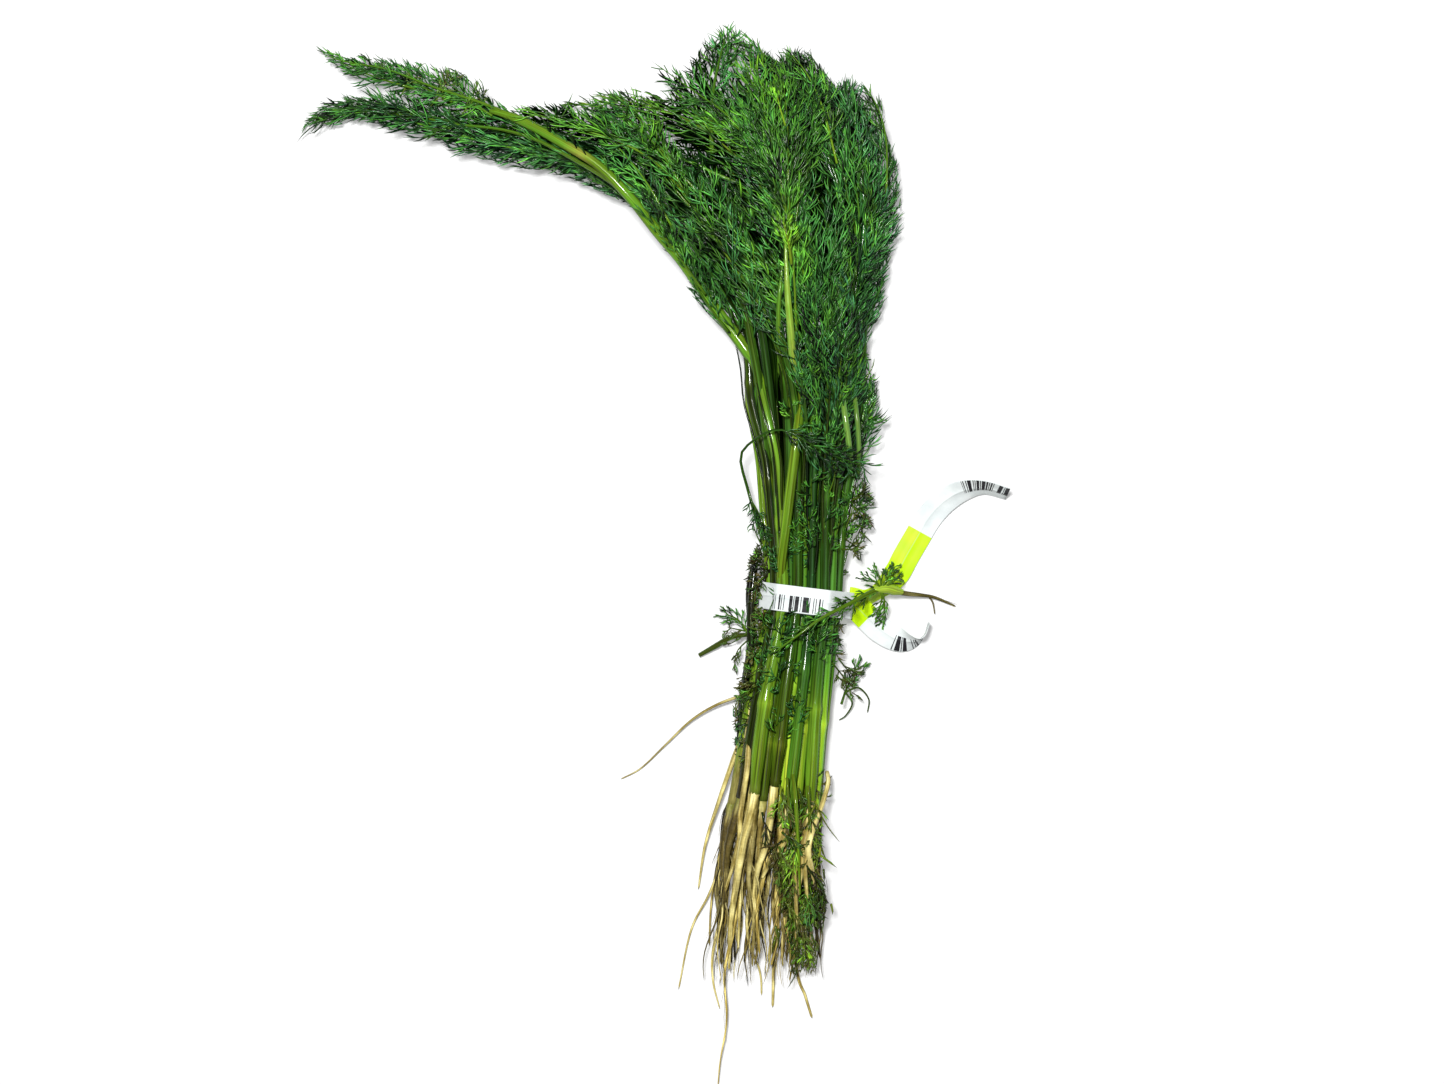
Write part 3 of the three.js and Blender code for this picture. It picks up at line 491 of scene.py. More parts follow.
def feathers(part, rng, pinnae, lengths, normals, tone, reach, every, loft, girth):
    """The pinnae's axes with their threads, as far as they lie within the outline."""
    tones = np.asarray(tone) + rng.normal(0, [0.06, 0.09, 0.0], (len(pinnae), 3))
    if part.edge is not None:
        reached = np.cumprod(inside(pinnae, part.edge), axis=1).sum(axis=1)
        keep = reached > 2
        if not keep.any():
            return
        normals, tones, reached = normals[keep], tones[keep], reached[keep]
        pinnae = shortened(pinnae[keep], reached)
        lengths = lengths[keep] * (reached - 1) / PINNA_STEPS
    part.limbs(pinnae, girth * PINNA_GIRTH[None], 3, tones + [0.05, 0.05, 0.0], part.leaf_kind)
    tufts(part, rng, pinnae, lengths, normals, tones, reach, every, loft)


# ---------------------------------------------------------------- plants

ARM = 20  # the plant whose thick stem lies on top of the arm
ON_TOP, AT_EDGE = 0.3, 0.9  # the layer above which a plant shows, and the u beyond which it is at a side
# The lines that some plants follow at their upper ends: the first station, the step to the next, and how soon
# and over how many stations the plants come to them.
ARM_FROM, ARM_STEP, ARM_LEAD, ARM_EASE = 6.5, 0.3, 0.4, 0.6
PLUME_FROM, PLUME_STEP, PLUME_START, PLUME_EASE, PLUME_SHARE = 9.5, 0.27, 9.0, 0.8, 0.85
BULGE, BULGE_AT, BULGE_SPREAD = 4, 7.0, 0.5  # how the stems at the left bow out
ARM_LINE = spots([
    (775, 440, 27), (772, 415, 26), (766, 385, 24), (757, 362, 22), (741, 340, 21), (720, 313, 21),
    (700, 284, 23), (680, 256, 27), (656, 228, 32), (629, 194, 35), (597, 162, 34.5), (560, 139, 33),
    (522, 118, 30.5), (488, 107, 27), (440, 106, 20), (384, 100, 12)])
UPPER_PLUME = spots([
    (600, 140, 27), (545, 127, 25), (495, 112, 23), (440, 88, 20), (385, 67, 15), (330, 53, 8)])
LOWER_PLUME = spots([
    (600, 168, 20), (545, 152, 18), (490, 140, 16), (435, 124, 13), (375, 105, 10), (312, 116, 5)])
PLUMES = {0: LOWER_PLUME, 9: LOWER_PLUME, 15: LOWER_PLUME, 4: UPPER_PLUME, 10: UPPER_PLUME, 16: UPPER_PLUME}
ENDS = {ARM: 10.4, 11: 10.3, 17: 10.35, 0: 10.6}  # stations where some plants' tops end sooner


def own(table, plant):
    """A table's rows for one plant, without the plant's number."""
    return [row[1:] for row in table if row[0] == plant.id]


def line_of(plant, t):
    """A plant's points as they show: the arm's stem lies on the leaves, and the plumes part at the tip."""
    points = plant.at(t)
    if plant.id == ARM:
        shift = ease((t - ARM_FROM + ARM_LEAD) / ARM_EASE)[:, None]
        points = points + (spline(ARM_LINE, (t - ARM_FROM) / ARM_STEP) - points) * shift
    if plant.id in PLUMES:
        plume = spline(PLUMES[plant.id], (t - PLUME_FROM) / PLUME_STEP)
        shift = ease((t - PLUME_START) / PLUME_EASE)[:, None]
        points = points + (plume - points) * PLUME_SHARE * shift
    left = np.clip(-plant.u - 0.3, 0, 0.5) / 0.5
    bulge = BULGE * left * np.exp(-(((t - BULGE_AT) / BULGE_SPREAD) ** 2))
    return points - np.outer(bulge, (1, 0, 0))


def on_top(plant, t, aside, rise=0.0):
    """Points on top of the bunch beside the plant, lower towards the bunch's edges."""
    u, w = plant.slot(t)
    across = np.clip(u + aside, -1.03, 1.03)
    height = 1 - 0.5 * (np.maximum(np.abs(across) - 0.5, 0) / 0.5) ** 2 + rise
    return line_of(plant, t) + place(across, height, t) - place(u, w, t)


# The leaves on top: the pinnae's spacing and lean, and their threads' length and spacing.
TOP_GAP, TOP_LEAN, TOP_REACH, TOP_EVERY = 15.0, 0.4, 17.0, 3.9
SIDE_POINTS = 91


def top_stalk(part, plant, t0, leafy, t1, aside, tone):
    """A stalk that leaves the stem at t0, and lies on top of the bunch from leafy to t1."""
    t = np.linspace(t0, t1, 70)
    up = ease((t - t0) / (leafy - t0))[:, None]
    stem = line_of(plant, t)
    rachis = Line(stem + (on_top(plant, t, aside, -0.14) - stem) * up)
    share = np.linspace(0, 1, 40)
    tones = np.asarray(tone) + np.outer(1 - share, (0.15, 0.0, 0))
    stalk_limb(part, rachis.at(share * rachis.length), 0.75 * (1 - 0.7 * share), tones)


def scale_at(plant, t):
    """How many mm one station is by the plant, and how many a step of 1 in u is."""
    t = np.array([t, t + 0.1])
    u, w = plant.slot(t[:1])
    forward = np.linalg.norm(np.diff(line_of(plant, t), axis=0)) / 0.1
    across = np.linalg.norm(place(u + 0.1, w, t[:1]) - place(u, w, t[:1])) / 0.1
    return forward, across


def drape(part, rng, plant, t0, leafy, t1, aside, width, tone):
    """A leaf from the plant's stem that lies combed on top of the bunch. width is its pinnae's length."""
    top_stalk(part, plant, t0, leafy, t1, aside, tone)
    mm_forward, mm_across = scale_at(plant, leafy)
    span = t1 - leafy
    pairs = max(2, int(span * mm_forward / TOP_GAP))
    start = leafy + span * np.repeat((np.arange(pairs) + 0.3) / pairs, 2) + rng.normal(0, 0.02, 2 * pairs)
    x = (start - leafy) / span
    lengths = width * (0.75 + 0.25 * np.minimum(1, x / 0.2)) * (1 - 0.35 * np.clip((x - 0.4) / 0.6, 0, 1))
    lengths = lengths * rng.uniform(0.85, 1.1, 2 * pairs)
    along = np.linspace(0, 1, PINNA_STEPS + 1)
    theta = (TOP_LEAN + rng.normal(0, 0.08, 2 * pairs))[:, None] * (1 - 0.75 * along)
    steps = np.tile([1.0, -1.0], pairs)[:, None] * np.sin(theta), np.cos(theta)
    sideways, forward = ((np.cumsum(step, axis=1) - step) * lengths[:, None] / PINNA_STEPS for step in steps)
    rise = rng.uniform(-0.02, 0.1, 2 * pairs)[:, None] * np.sin(2.6 * along) - 0.1 * (1 - along) ** 3
    stations = (start[:, None] + forward / mm_forward).ravel()
    asides = (aside + sideways / mm_across).ravel()
    pinnae, beside = (on_top(plant, stations, asides + more, rise.ravel()).reshape(-1, PINNA_STEPS + 1, 3)
                      for more in (0.0, 0.02))
    middle = PINNA_STEPS // 2
    normals = unit(np.cross((beside - pinnae)[:, middle], pinnae[:, middle + 1] - pinnae[:, middle - 1]))
    normals = np.where(normals[:, 2:] < 0, -normals, normals)
    feathers(part, rng, pinnae, lengths, normals, tone, TOP_REACH, TOP_EVERY, (0.06, 0.12), 0.85)


def side_line(plant, t0, t1, angle, spread):
    """A line beside the plant, which dips into its stem under the tie."""
    share = np.linspace(0, 1, SIDE_POINTS)
    t = t0 + (t1 - t0) * share
    away = (ease(share * 1.2) + 0.35 * ease(share * 6)) * (1 - np.exp(-(((t - TIE) / 0.2) ** 2)))
    u, w = plant.slot(t)
    beside = place(u + spread * math.cos(angle) * away, w + spread * math.sin(angle) * away, t)
    shift = beside - place(u, w, t)
    return Line(line_of(plant, t) + shift)


def leaf_tone(plant, rng):
    """Bluish on the left and the right of the head, fresh green in the middle."""
    hue = 0.5 - 0.3 * abs(plant.u - 0.05) + 0.1 * plant.w + rng.normal(0, 0.12)
    return [hue, 0.45 + rng.normal(0, 0.07), 0.0]


def pinna_length(plant, t):
    """Long in the head, short on the arm and at the right edge."""
    on_arm = ease((t - 8.2) / 1.0) * ease((0.15 - plant.u) / 0.4)
    return 38 - 20 * on_arm - 8 * ease((plant.u - 0.3) / 0.5)


STATION_LENGTH, JOINT_LENGTH = 48, 3.0


def stem_radius(plant, t):
    """Thin in the head. The stems that show are fuller below, where they narrow to the collar."""
    past = np.clip((t - LEAVES) / plant.top, 0, 1)
    radius = np.maximum(plant.radius(np.minimum(t, LEAVES + 0.3)) * (1 - 0.85 * past), 0.35)
    if plant.id == ARM:
        radius = np.where(t > 7.5, 2.25 - 0.5 * ease((t - 8) / 2) - 0.9 * ease((t - 10.1) / 0.4), radius)
    if plant.w > ON_TOP:
        fuller = 0.3 if plant.u < 0 else 0.12
        radius = radius * (1 + fuller + 0.2 * ease((5.0 - t) / 0.8))
        radius = radius * (1 - 0.25 * ease((plant.collar + 0.4 - t) / 0.35))
    return radius


def stem_tones(plant, rng, t, swell, below):
    """Leaf green in the head, yellower downwards and paler there on the right, cream at the collar. The arm has
    a bruise. Stems under the top layer are bluer and darker, and the low stems on the left a little darker:
    painted shade.
    """
    hue, light = 0.5 + rng.normal(0, 0.2), 0.37 + rng.normal(0, 0.08)
    # Stems under the top layer: painted shade, bluer and darker.
    if below:
        hue, light = hue - 0.2, light - 0.18
    if plant.id == ARM:
        hue, light = 0.6, 0.46
    pale_from = plant.between(3.6, 4.1, 22) if plant.u < -0.7 else plant.collar + 0.15
    bruise = 0.75 * np.exp(-(((t - 9.65) / 0.08) ** 2)) if plant.id == ARM else 0 * t
    leafy = ease((t - 7.4) / 1.2) * (0 if plant.id == ARM else 1)
    low = ease((4.8 - t) / 1.3)
    yellower = low * (0.3 if plant.u < -0.5 else 1)
    # Low down, paler on the right, and a little darker on the left: painted shade on that side.
    paler_right_shaded_left = (0.12 if plant.u > -0.1 else -0.04) * low
    cream = (0.3 if below else 0.8) * ease((pale_from - t) / 0.5)
    return np.stack([hue - 0.3 * leafy + 0.34 * yellower + 0.1 * swell + 0.4 * bruise,
                     light - 0.08 * leafy + paler_right_shaded_left + 0.05 * swell,
                     cream + 0.5 * bruise], axis=1)


def grow_stem(part, rng, plant, end):
    t = np.linspace(plant.collar - 0.03, end, 120)
    joints = [plant.between(3.5, 4.3, 21), plant.between(5.4, 6.3, 20), plant.between(6.9, 7.3, 6)]
    swell = sum(np.exp(-(((t - joint) * STATION_LENGTH / JOINT_LENGTH) ** 2)) for joint in joints)
    below = plant.w < ON_TOP and abs(plant.u) < AT_EDGE
    radius = stem_radius(plant, t) * (1 + 0.14 * swell)
    tones = stem_tones(plant, rng, t, swell, below)
    points = line_of(plant, t)
    free = (t < 8.3) | (plant.id == ARM)
    n = int(np.cumprod(inside(points, EDGE) | free).sum())
    kind = DEEP_STEM if below else STEM
    part.limbs(points[None, :n], radius[None, :n], 12, tones[None, :n], kind, pointed=False)


def grow_plant(plant):
    """One shoot: its stem and leaves, and the torn leaves and bare stems that lie on it."""
    part, rng = Part(), np.random.default_rng(100 + plant.id)
    end = ENDS.get(plant.id, LEAVES + plant.top)
    grow_stem(part, rng, plant, end)
    part.edge = EDGE
    if plant.w > ON_TOP:
        grow_top_leaves(part, rng, plant, end)
    else:
        # Leaves under the top layer and away from the sides get the darker leaf material: painted shade.
        seen = plant.u > 0.5 or plant.u < -0.7 or plant.w < -0.6
        part.leaf_kind = LEAF if seen else SHADED_LEAF
        grow_deep_leaves(part, rng, plant, end)
    part.leaf_kind = LEAF
    grow_scraps(part, rng, plant)
    for rows, width, tone, bare, extra in own(FEATURES, plant):
        frond(part, rng, through(spots(rows)), width, tone, bare=bare, **extra)
    for rows, thick, tone in own(TWIGS, plant):
        twig(part, spots(rows), thick, tone, sides=9, count=40)
    return part


# The station where the top leaves start, by the plant's u.
TOP_LEAVES_FROM = ([-0.3, 0.0, 0.2, 0.4, 0.6, 0.8], [7.55, 7.4, 6.8, 6.4, 6.2, 6.0])


def grow_top_leaves(part, rng, plant, end):
    """Leaf upon leaf, combed along the top of the bunch."""
    leafy, n = float(np.interp(plant.u, *TOP_LEAVES_FROM)), 0
    while leafy < end - 0.25:
        t1 = min(leafy + plant.between(1.3, 1.6, n, 1), end + 0.1)
        aside = plant.between(-0.14, 0.14, n, 2) + (0.2 if plant.u > 0.5 and n % 2 else -0.08 * plant.u)
        low = float(ease((8.0 - leafy) / 1.0)) * (plant.u > 0)
        tone = np.add(leaf_tone(plant, rng), [-0.15 * low, -0.04 * low, 0])
        t0, width = leafy - plant.between(0.6, 1.1, n, 3), pinna_length(plant, leafy + 0.6)
        drape(part, rng, plant, t0, leafy, t1, aside, width, tone)
        leafy += plant.between(0.9, 1.05, n, 4) * (0.7 if leafy < 7.2 else 1.0)
        n += 1


def scrap(part, rng, line, size, tone):
    """A small torn leaf: a few forked threads of uneven length that leave the line at uneven angles."""
    tone = np.asarray(tone, float)
    share = np.linspace(0, 1, 8)
    points = line.at(share * line.length)
    if inside(points, part.edge).mean() < 0.5:
        return
    part.limbs(points[None], (0.5 * (1 - 0.6 * share))[None], 5, (tone + [0.1, 0, 0])[None])
    count = max(3, int(line.length / 2.6))
    d = line.length * rng.uniform(0.15, 1.0, count)
    hand = np.where(rng.random(count) < 0.5, 1.0, -1.0)[:, None]
    ahead = line.head(d)
    level, up = across_of(ahead)
    roll = rng.normal(0.3, 0.5, count)[:, None]
    side = level * hand * np.cos(roll) + up * np.sin(roll)
    length = size * rng.uniform(0.5, 1.2, count)
    first, second = rng.uniform(0.5, 1.3, count), rng.normal(0.2, 0.5, count)
    main = curls(line.at(d), ahead, side, length, first, second)
    for base, long, turn in ((main[:, 1], 0.7, 0.5), (main[:, 1], 0.6, -0.5), (main[:, 2], 0.5, 0.6)):
        fork = curls(base, ahead, side, long * length, first + turn, second + 0.8 * turn)
        fork = fork[inside(fork[:, 2], part.edge)]
        threads(part, rng, fork, np.tile(tone, (len(fork), 1)))
    main = main[inside(main[:, 2], part.edge)]
    threads(part, rng, main, np.tile(tone, (len(main), 1)))


def grow_stalks(part, plant, count):
    """Thin bare stalks between the stems, dark to paint the shade in the gaps there."""
    for n in range(count):
        t0, t1 = plant.between(3.2, 5.6, n, 31), plant.between(6.9, 8.2, n, 32)
        turn = math.pi / 2 + plant.between(-1.5, 1.5, n, 33) - 0.4 * plant.u
        line = side_line(plant, t0, t1, turn, plant.between(0.1, 0.24, n, 34))
        # Dark tones: painted shade between the stems.
        tone = [plant.between(0.3, 0.8, n, 36), plant.between(0.1, 0.3, n, 37), 0.0]
        twig(part, line.points[::10], [plant.between(0.5, 1.1, n, 35), 0.7, 0.35], tone, 7, 30)


def grow_edge_scraps(part, rng, plant):
    """Small torn leaves along the bunch's two edges."""
    for rows, edge_at, count, inwards in own(EDGE_SCRAPS, plant):
        for n in range(count):
            row = between(rows[0], rows[-1], n, 51)
            column = float(np.interp(row, rows, edge_at)) + between(2, 20, n, 52) * inwards
            height, drop = between(7, 24, n, 53), between(-12, 16, n, 54)
            ends = [(column + 7 * inwards, row, height), (column, row + drop / 2, height + 1),
                    (column - 6 * inwards, row + drop, height - 2)]
            tone = [between(0.25, 0.65, n, 56), between(0.15, 0.36, n, 57), between(0, 0.25, n, 58)]
            scrap(part, rng, through(spots(ends)), between(4.5, 9, n, 55), tone)


TIE_FROM, TIE_TO = 4.75, 5.14  # the stations that the tie covers
SCRAP_STARTS = np.arange(3.3, 7.3, 0.14)


def grow_stem_scraps(part, rng, plant, edge):
    """Small torn leaves on the stems: most at the right above the tie, and at the left beside it."""
    outward = 0.0 if plant.u > 0 else math.pi
    for n, start in enumerate(SCRAP_STARTS):
        t0 = start + plant.between(-0.1, 0.1, n, 41)
        if TIE_FROM < t0 < TIE_TO:
            continue
        likely = 0.75 * ease((plant.u + 0.1) / 0.5) * ease((t0 - 5.1) / 0.3)
        likely = max(likely, (1.2 if plant.u < -0.5 else 0.45) * math.exp(-((t0 - 4.6) / 0.8) ** 2))
        if chance(plant.id, n, 47) > max(likely, 0.08):
            continue
        turn = (outward if edge else math.pi / 2) + plant.between(-1, 1, n, 42)
        spread, length = plant.between(0.1, 0.26, n, 43), plant.between(0.15, 0.4, n, 44)
        tone = [plant.between(0.25, 0.6, n, 46), 0.4, 0]
        line = side_line(plant, t0, t0 + length, turn, spread)
        scrap(part, rng, line, plant.between(6, 11, n, 45), tone)


def grow_scraps(part, rng, plant):
    """Thin stalks and torn leaves, on the plants that show."""
    shown, edge = plant.w > ON_TOP, abs(plant.u) > AT_EDGE
    if shown or edge:
        grow_stalks(part, plant, 3 if shown else 1)
        grow_edge_scraps(part, rng, plant)
        grow_stem_scraps(part, rng, plant, edge)


def grow_deep_leaves(part, rng, plant, end):
    """The leaves under the top ones, and at the sides."""
    tilt = -0.45 * plant.u
    on_arm, right = plant.u < -0.3, plant.u > 0.25

    def leaf(t0, leafy, t1, turn, spread, size=1.0, stalk=0.8, reach=12.5):
        """A leaf whose stalk leaves the stem at t0, and which has pinnae from leafy to t1."""
        t1 = min(t1, end + 0.2)
        line = side_line(plant, t0, t1, turn, spread)
        bare = line.sums[int((SIDE_POINTS - 1) * max(0.02, (leafy - t0) / (t1 - t0)))] / line.length
        widths = 0.8 * size * pinna_length(plant, np.linspace(t0, t1, 8))
        tone = leaf_tone(plant, rng)
        lean = 0.42 if on_arm else 0.55
        roll = tilt + rng.normal(0, 0.1)
        frond(part, rng, line, widths, tone, roll, bare, reach=reach, stalk=stalk, lean=lean, every=3.0)

    tip = Line(line_of(plant, np.linspace(LEAVES + 0.1, end, 80)))
    widths = 0.8 * pinna_length(plant, np.linspace(LEAVES + 0.1, end, 8))
    frond(part, rng, tip, widths, leaf_tone(plant, rng), tilt, 0.03, stalk=0.5, every=3.0)
    outward = math.atan2(plant.w, plant.u)
    aside = plant.between(1.6, 4.6, 9)
    leafy = 7.35 if right else 7.6
    leaf(plant.between(6.9, 7.3, 6), leafy + 0.1, 9.3, outward + plant.between(-1, 1, 8), 0.22)
    leaf(plant.between(7.4, 7.8, 11), leafy + 0.4, 9.7, outward + aside + 2.2, 0.3)
    leaf(plant.between(8.1, 8.6, 7), 8.7, 10.2, outward + aside, 0.26)
    leaf(plant.between(8.9, 9.2, 10), 9.3, 10.8, outward + aside + 2.6, 0.3)
    leaf(plant.between(8.3, 8.8, 17), 9.0, 10.5, outward + aside + 4.2, 0.3)
    leaf(plant.between(7.0, 7.4, 18), leafy + 0.3, 9.0, outward + aside + 5.0, 0.2)
    if plant.u > 0.5:
        leaf(5.9, 6.4, 8.0, -0.2, 0.25, size=0.7)
    if plant.u > 0.9:
        leaf(5.2, 5.5, 6.2, 0, 0.3, size=0.4, stalk=0.6, reach=7.0)
        leaf(5.6, 6.0, 7.2, 0, 0.2, size=0.5)
        leaf(6.2, 6.6, 7.8, 0, 0.15, size=0.6)


# Torn leaves along the bunch's two edges: the plant, rows, the edge's columns there, how many, and which way
# is inwards.
EDGE_SCRAPS = [
    (9, (545, 585, 640, 690, 760), (755, 745, 747, 738, 738), 75, 1),
    (14, (480, 520, 560, 600, 660), (868, 874, 862, 848, 842), 26, -1),
    (23, (775, 800, 835), (775, 772, 774), 12, 1),
    (23, (775, 800, 835), (828, 824, 822), 12, -1),
]
# The looks that several of the leaves on top share.
BROAD = dict(lean=0.4, gap=9.0, every=3.6, reach=15.0)
CURLY = dict(gap=3.2, reach=7.0, stalk=0.4, lean=0.8)
DENSE, THIN = dict(gap=6.0), dict(stalk=0.7, gap=8.0)
# Leaves that lie on top and show one by one: the plant, the spots of the rachis, the pinnae's length, the
# tone, the bare share of the rachis, and what else sets the leaf apart.
FEATURES = [
    (22, [(797, 330, 39), (795, 280, 45), (790, 232, 49), (778, 180, 52), (754, 140, 50), (722, 112, 44)],
     (5, 12, 26, 30, 24), (0.55, 0.45, 0), 0.45, BROAD),
    (22, [(790, 240, 49), (784, 190, 52), (770, 130, 51), (757, 84, 46)], (16, 30, 28, 20),
     (0.52, 0.43, 0), 0.1, BROAD),
    (23, [(791, 240, 49), (789, 180, 52), (788, 120, 50), (783, 68, 42)], (16, 26, 26, 18),
     (0.58, 0.42, 0), 0.1, BROAD),
    (23, [(794, 240, 48), (800, 190, 49), (806, 130, 47), (812, 74, 38)], (14, 24, 24, 18),
     (0.44, 0.42, 0), 0.1, BROAD),
    (22, [(786, 122, 52), (780, 102, 54), (777, 88, 53)], 8, (0.72, 0.6, 0), 0.5,
     dict(gap=4.0, reach=6.0, stalk=0.5, stalk_tone=(0, -0.05, 0))),
    (21, [(712, 150, 43), (711, 110, 42), (716, 70, 38), (727, 27, 30)], 16, (0.4, 0.42, 0), 0.35,
     dict(stalk=1.2)),
    (21, [(765, 155, 46), (728, 112, 46), (692, 86, 42), (650, 56, 34)], 15, (0.42, 0.45, 0), 0.25, {}),
    (23, [(838, 160, 43), (824, 105, 41), (808, 70, 37), (788, 45, 30)], 18, (0.55, 0.5, 0), 0.1, {}),
    (19, [(888, 190, 26), (888, 140, 25), (880, 105, 21), (862, 76, 14)], 12, (0.45, 0.45, 0), 0.1, {}),
    (ARM, [(535, 122, 32), (509, 111, 30), (480, 99, 27), (431, 83, 22), (384, 65, 17), (340, 57, 12),
     (308, 45, 8)], (12, 16, 14, 12, 9), (0.4, 0.46, 0), 0.2,
     dict(stalk=0.9, lean=0.6, gap=9.0, stalk_tone=(0.2, 0.0, 0))),
    (ARM, [(618, 184, 34.5), (590, 166, 33.5), (549, 143, 32), (526, 133, 30), (495, 125, 26),
     (450, 120, 20), (410, 111, 15), (370, 104, 11), (330, 108, 7), (296, 129, 3)], (10, 14, 18, 14, 11),
     (0.38, 0.45, 0), 0.38, dict(stalk=1.1, lean=0.6, gap=9.0, stalk_tone=(0.25, -0.05, 0))),
    (ARM, [(490, 112, 28), (468, 97, 24), (448, 80, 18), (436, 72, 14)], 13, (0.4, 0.46, 0), 0.15, DENSE),
    (ARM, [(450, 98, 24), (422, 84, 21), (398, 72, 16), (380, 61, 12)], 13, (0.36, 0.44, 0), 0.15, DENSE),
    (ARM, [(410, 84, 20), (375, 74, 17), (345, 62, 12), (322, 52, 7)], 11, (0.42, 0.44, 0), 0.1, DENSE),
    (ARM, [(400, 112, 16), (365, 102, 12), (335, 104, 8), (305, 116, 4)], 11, (0.36, 0.44, 0), 0.1,
     DENSE),
    (ARM, [(458, 112, 22), (470, 98, 26), (478, 84, 25), (481, 74, 22)], 7, (0.4, 0.44, 0.1), 0.1, CURLY),
    (ARM, [(428, 102, 20), (440, 88, 23), (448, 76, 22), (450, 66, 19)], 7, (0.4, 0.44, 0.15), 0.1,
     CURLY),
    (ARM, [(398, 92, 16), (405, 79, 19), (410, 69, 18), (410, 60, 15)], 6, (0.4, 0.42, 0.15), 0.1, CURLY),
    (ARM, [(370, 80, 13), (376, 71, 15), (381, 63, 14), (381, 56, 12)], 5, (0.4, 0.42, 0.1), 0.1, CURLY),
    (22, [(792, 262, 50), (790, 245, 51), (786, 228, 52), (783, 212, 51)], 9, (0.78, 0.45, 0), 0.25,
     dict(gap=2.2, reach=9.0, stalk=0.8, stalk_tone=(0, 0, 0))),
    (21, [(672, 225, 38), (645, 178, 37), (612, 138, 33), (578, 108, 27)], 20, (0.42, 0.5, 0), 0.1,
     dict(stalk=0.6)),
    (21, [(690, 200, 40), (668, 160, 39), (640, 126, 36), (600, 100, 28)], 20, (0.38, 0.48, 0), 0.1,
     dict(stalk=0.6)),
    (9, [(728, 330, 26), (706, 300, 28), (690, 275, 30), (668, 250, 33), (650, 228, 36)], 15,
     (0.38, 0.4, 0), 0.05, THIN),
    (9, [(705, 292, 30), (684, 262, 33), (664, 236, 36), (642, 206, 38)], 13, (0.42, 0.42, 0), 0.05,
     THIN),
    (22, [(808, 430, 34), (805, 400, 36), (801, 370, 38), (799, 335, 41)], 7, (0.25, 0.36, 0), 0.05,
     dict(stalk=1.0, gap=3.5, reach=8.0)),
    (19, [(846, 480, 17), (860, 448, 17), (871, 420, 14), (879, 392, 10)], 9, (0.3, 0.4, 0), 0.2, {}),
    (19, [(846, 482, 15), (858, 500, 12), (866, 515, 8), (874, 530, 4)], 8, (0.3, 0.38, 0), 0.1, {}),
]
# Bare stems and stalks that show one by one: the plant, the spots, the radii along it, and the tone.
TWIGS = [
    (16, [(742, 290, 28), (750, 330, 27), (759, 380, 25), (766, 430, 23), (771, 475, 17)],
     [1.6, 2.1, 2.1, 2.0, 1.6], (0.5, 0.34, 0)),
    (17, [(752, 285, 33), (762, 330, 30), (769, 380, 27), (775, 430, 25), (780, 475, 19)],
     [1.6, 2.0, 2.0, 2.0, 1.6], (0.3, 0.3, 0)),
    (22, [(796, 385, 24), (791, 325, 42), (788, 288, 45), (786, 238, 46)], [2.1, 2.0, 1.5, 0.6],
     (0.5, 0.6, 0.2)),
    (22, [(781, 372, 22), (779, 310, 41), (783, 262, 43)], [1.5, 1.3, 0.6], (0.45, 0.5, 0.05)),
    (21, [(804, 375, 22), (798, 430, 33), (792, 480, 33), (786, 530, 31), (782, 565, 27), (781, 592, 21)],
     [1.7, 2.3, 2.5, 2.5, 2.4, 2.2], (0.72, 0.42, 0)),
    (9, [(756, 560, 12), (752, 600, 13), (751, 650, 13), (744, 710, 12), (741, 780, 9)],
     [1.4, 2.2, 2.2, 2.0, 1.4], (0.3, 0.16, 0.25)),
    (4, [(759, 550, 8), (750, 590, 8), (752, 640, 8), (743, 700, 7), (738, 770, 6)],
     [1.4, 2.0, 2.0, 1.8, 1.2], (0.2, 0.14, 0.3)),
    (22, [(792, 765, 24), (796, 800, 36), (799, 850, 34), (801, 900, 27)], [0.9, 1.0, 0.8, 0.4],
     (0.75, 0.42, 0)),
    (23, [(840, 370, 25), (844, 400, 31), (849, 435, 32), (853, 470, 26)], [1.2, 1.5, 1.5, 1.2],
     (0.2, 0.6, 0.12)),
    (19, [(853, 375, 18), (857, 405, 25), (860, 440, 25), (860, 475, 19)], [0.9, 1.2, 1.2, 0.9],
     (0.2, 0.55, 0.12)),
    # The last two lie low under the stems at the left, dark, to paint the shade in the gaps between them.
    (4, [(738, 300, 10), (750, 350, 10), (757, 410, 10), (762, 470, 9)], [2.2, 2.4, 2.4, 2.0],
     (0.2, 0.2, 0)),
    (10, [(750, 290, 13), (760, 345, 13), (768, 410, 12), (772, 470, 10)], [2.2, 2.4, 2.4, 2.0],
     (0.3, 0.22, 0)),
]


# ---------------------------------------------------------------- roots

ROOT_POINTS, ROOT_SWAY, ROOTLET_POINTS = 60, 1.3, 12
SHORTEST_ROOT = 1.2  # the lowest station that a taproot's end is above, but for the longest one


def wander(rng, line, count, size):
    """The line's points, drifting a little from side to side."""
    d = np.linspace(0, line.length, count)
    side, up = across_of(line.head(d))
    grow = size * np.minimum(1, d / 40)
    sway = sum(np.sin(d / wave + rng.uniform(0, 6.3)) for wave in (14, 6.5)) / 2
    rise = sum(np.sin(d / wave + rng.uniform(0, 6.3)) for wave in (17, 8)) / 2
    return line.at(d) + side * (grow * sway)[:, None] + up * (0.6 * grow * rise)[:, None]


def root_tone(rng, light=0.5):
    return [rng.uniform(0.1, 0.95), max(0.12, light + rng.normal(0, 0.13)), 1.0]


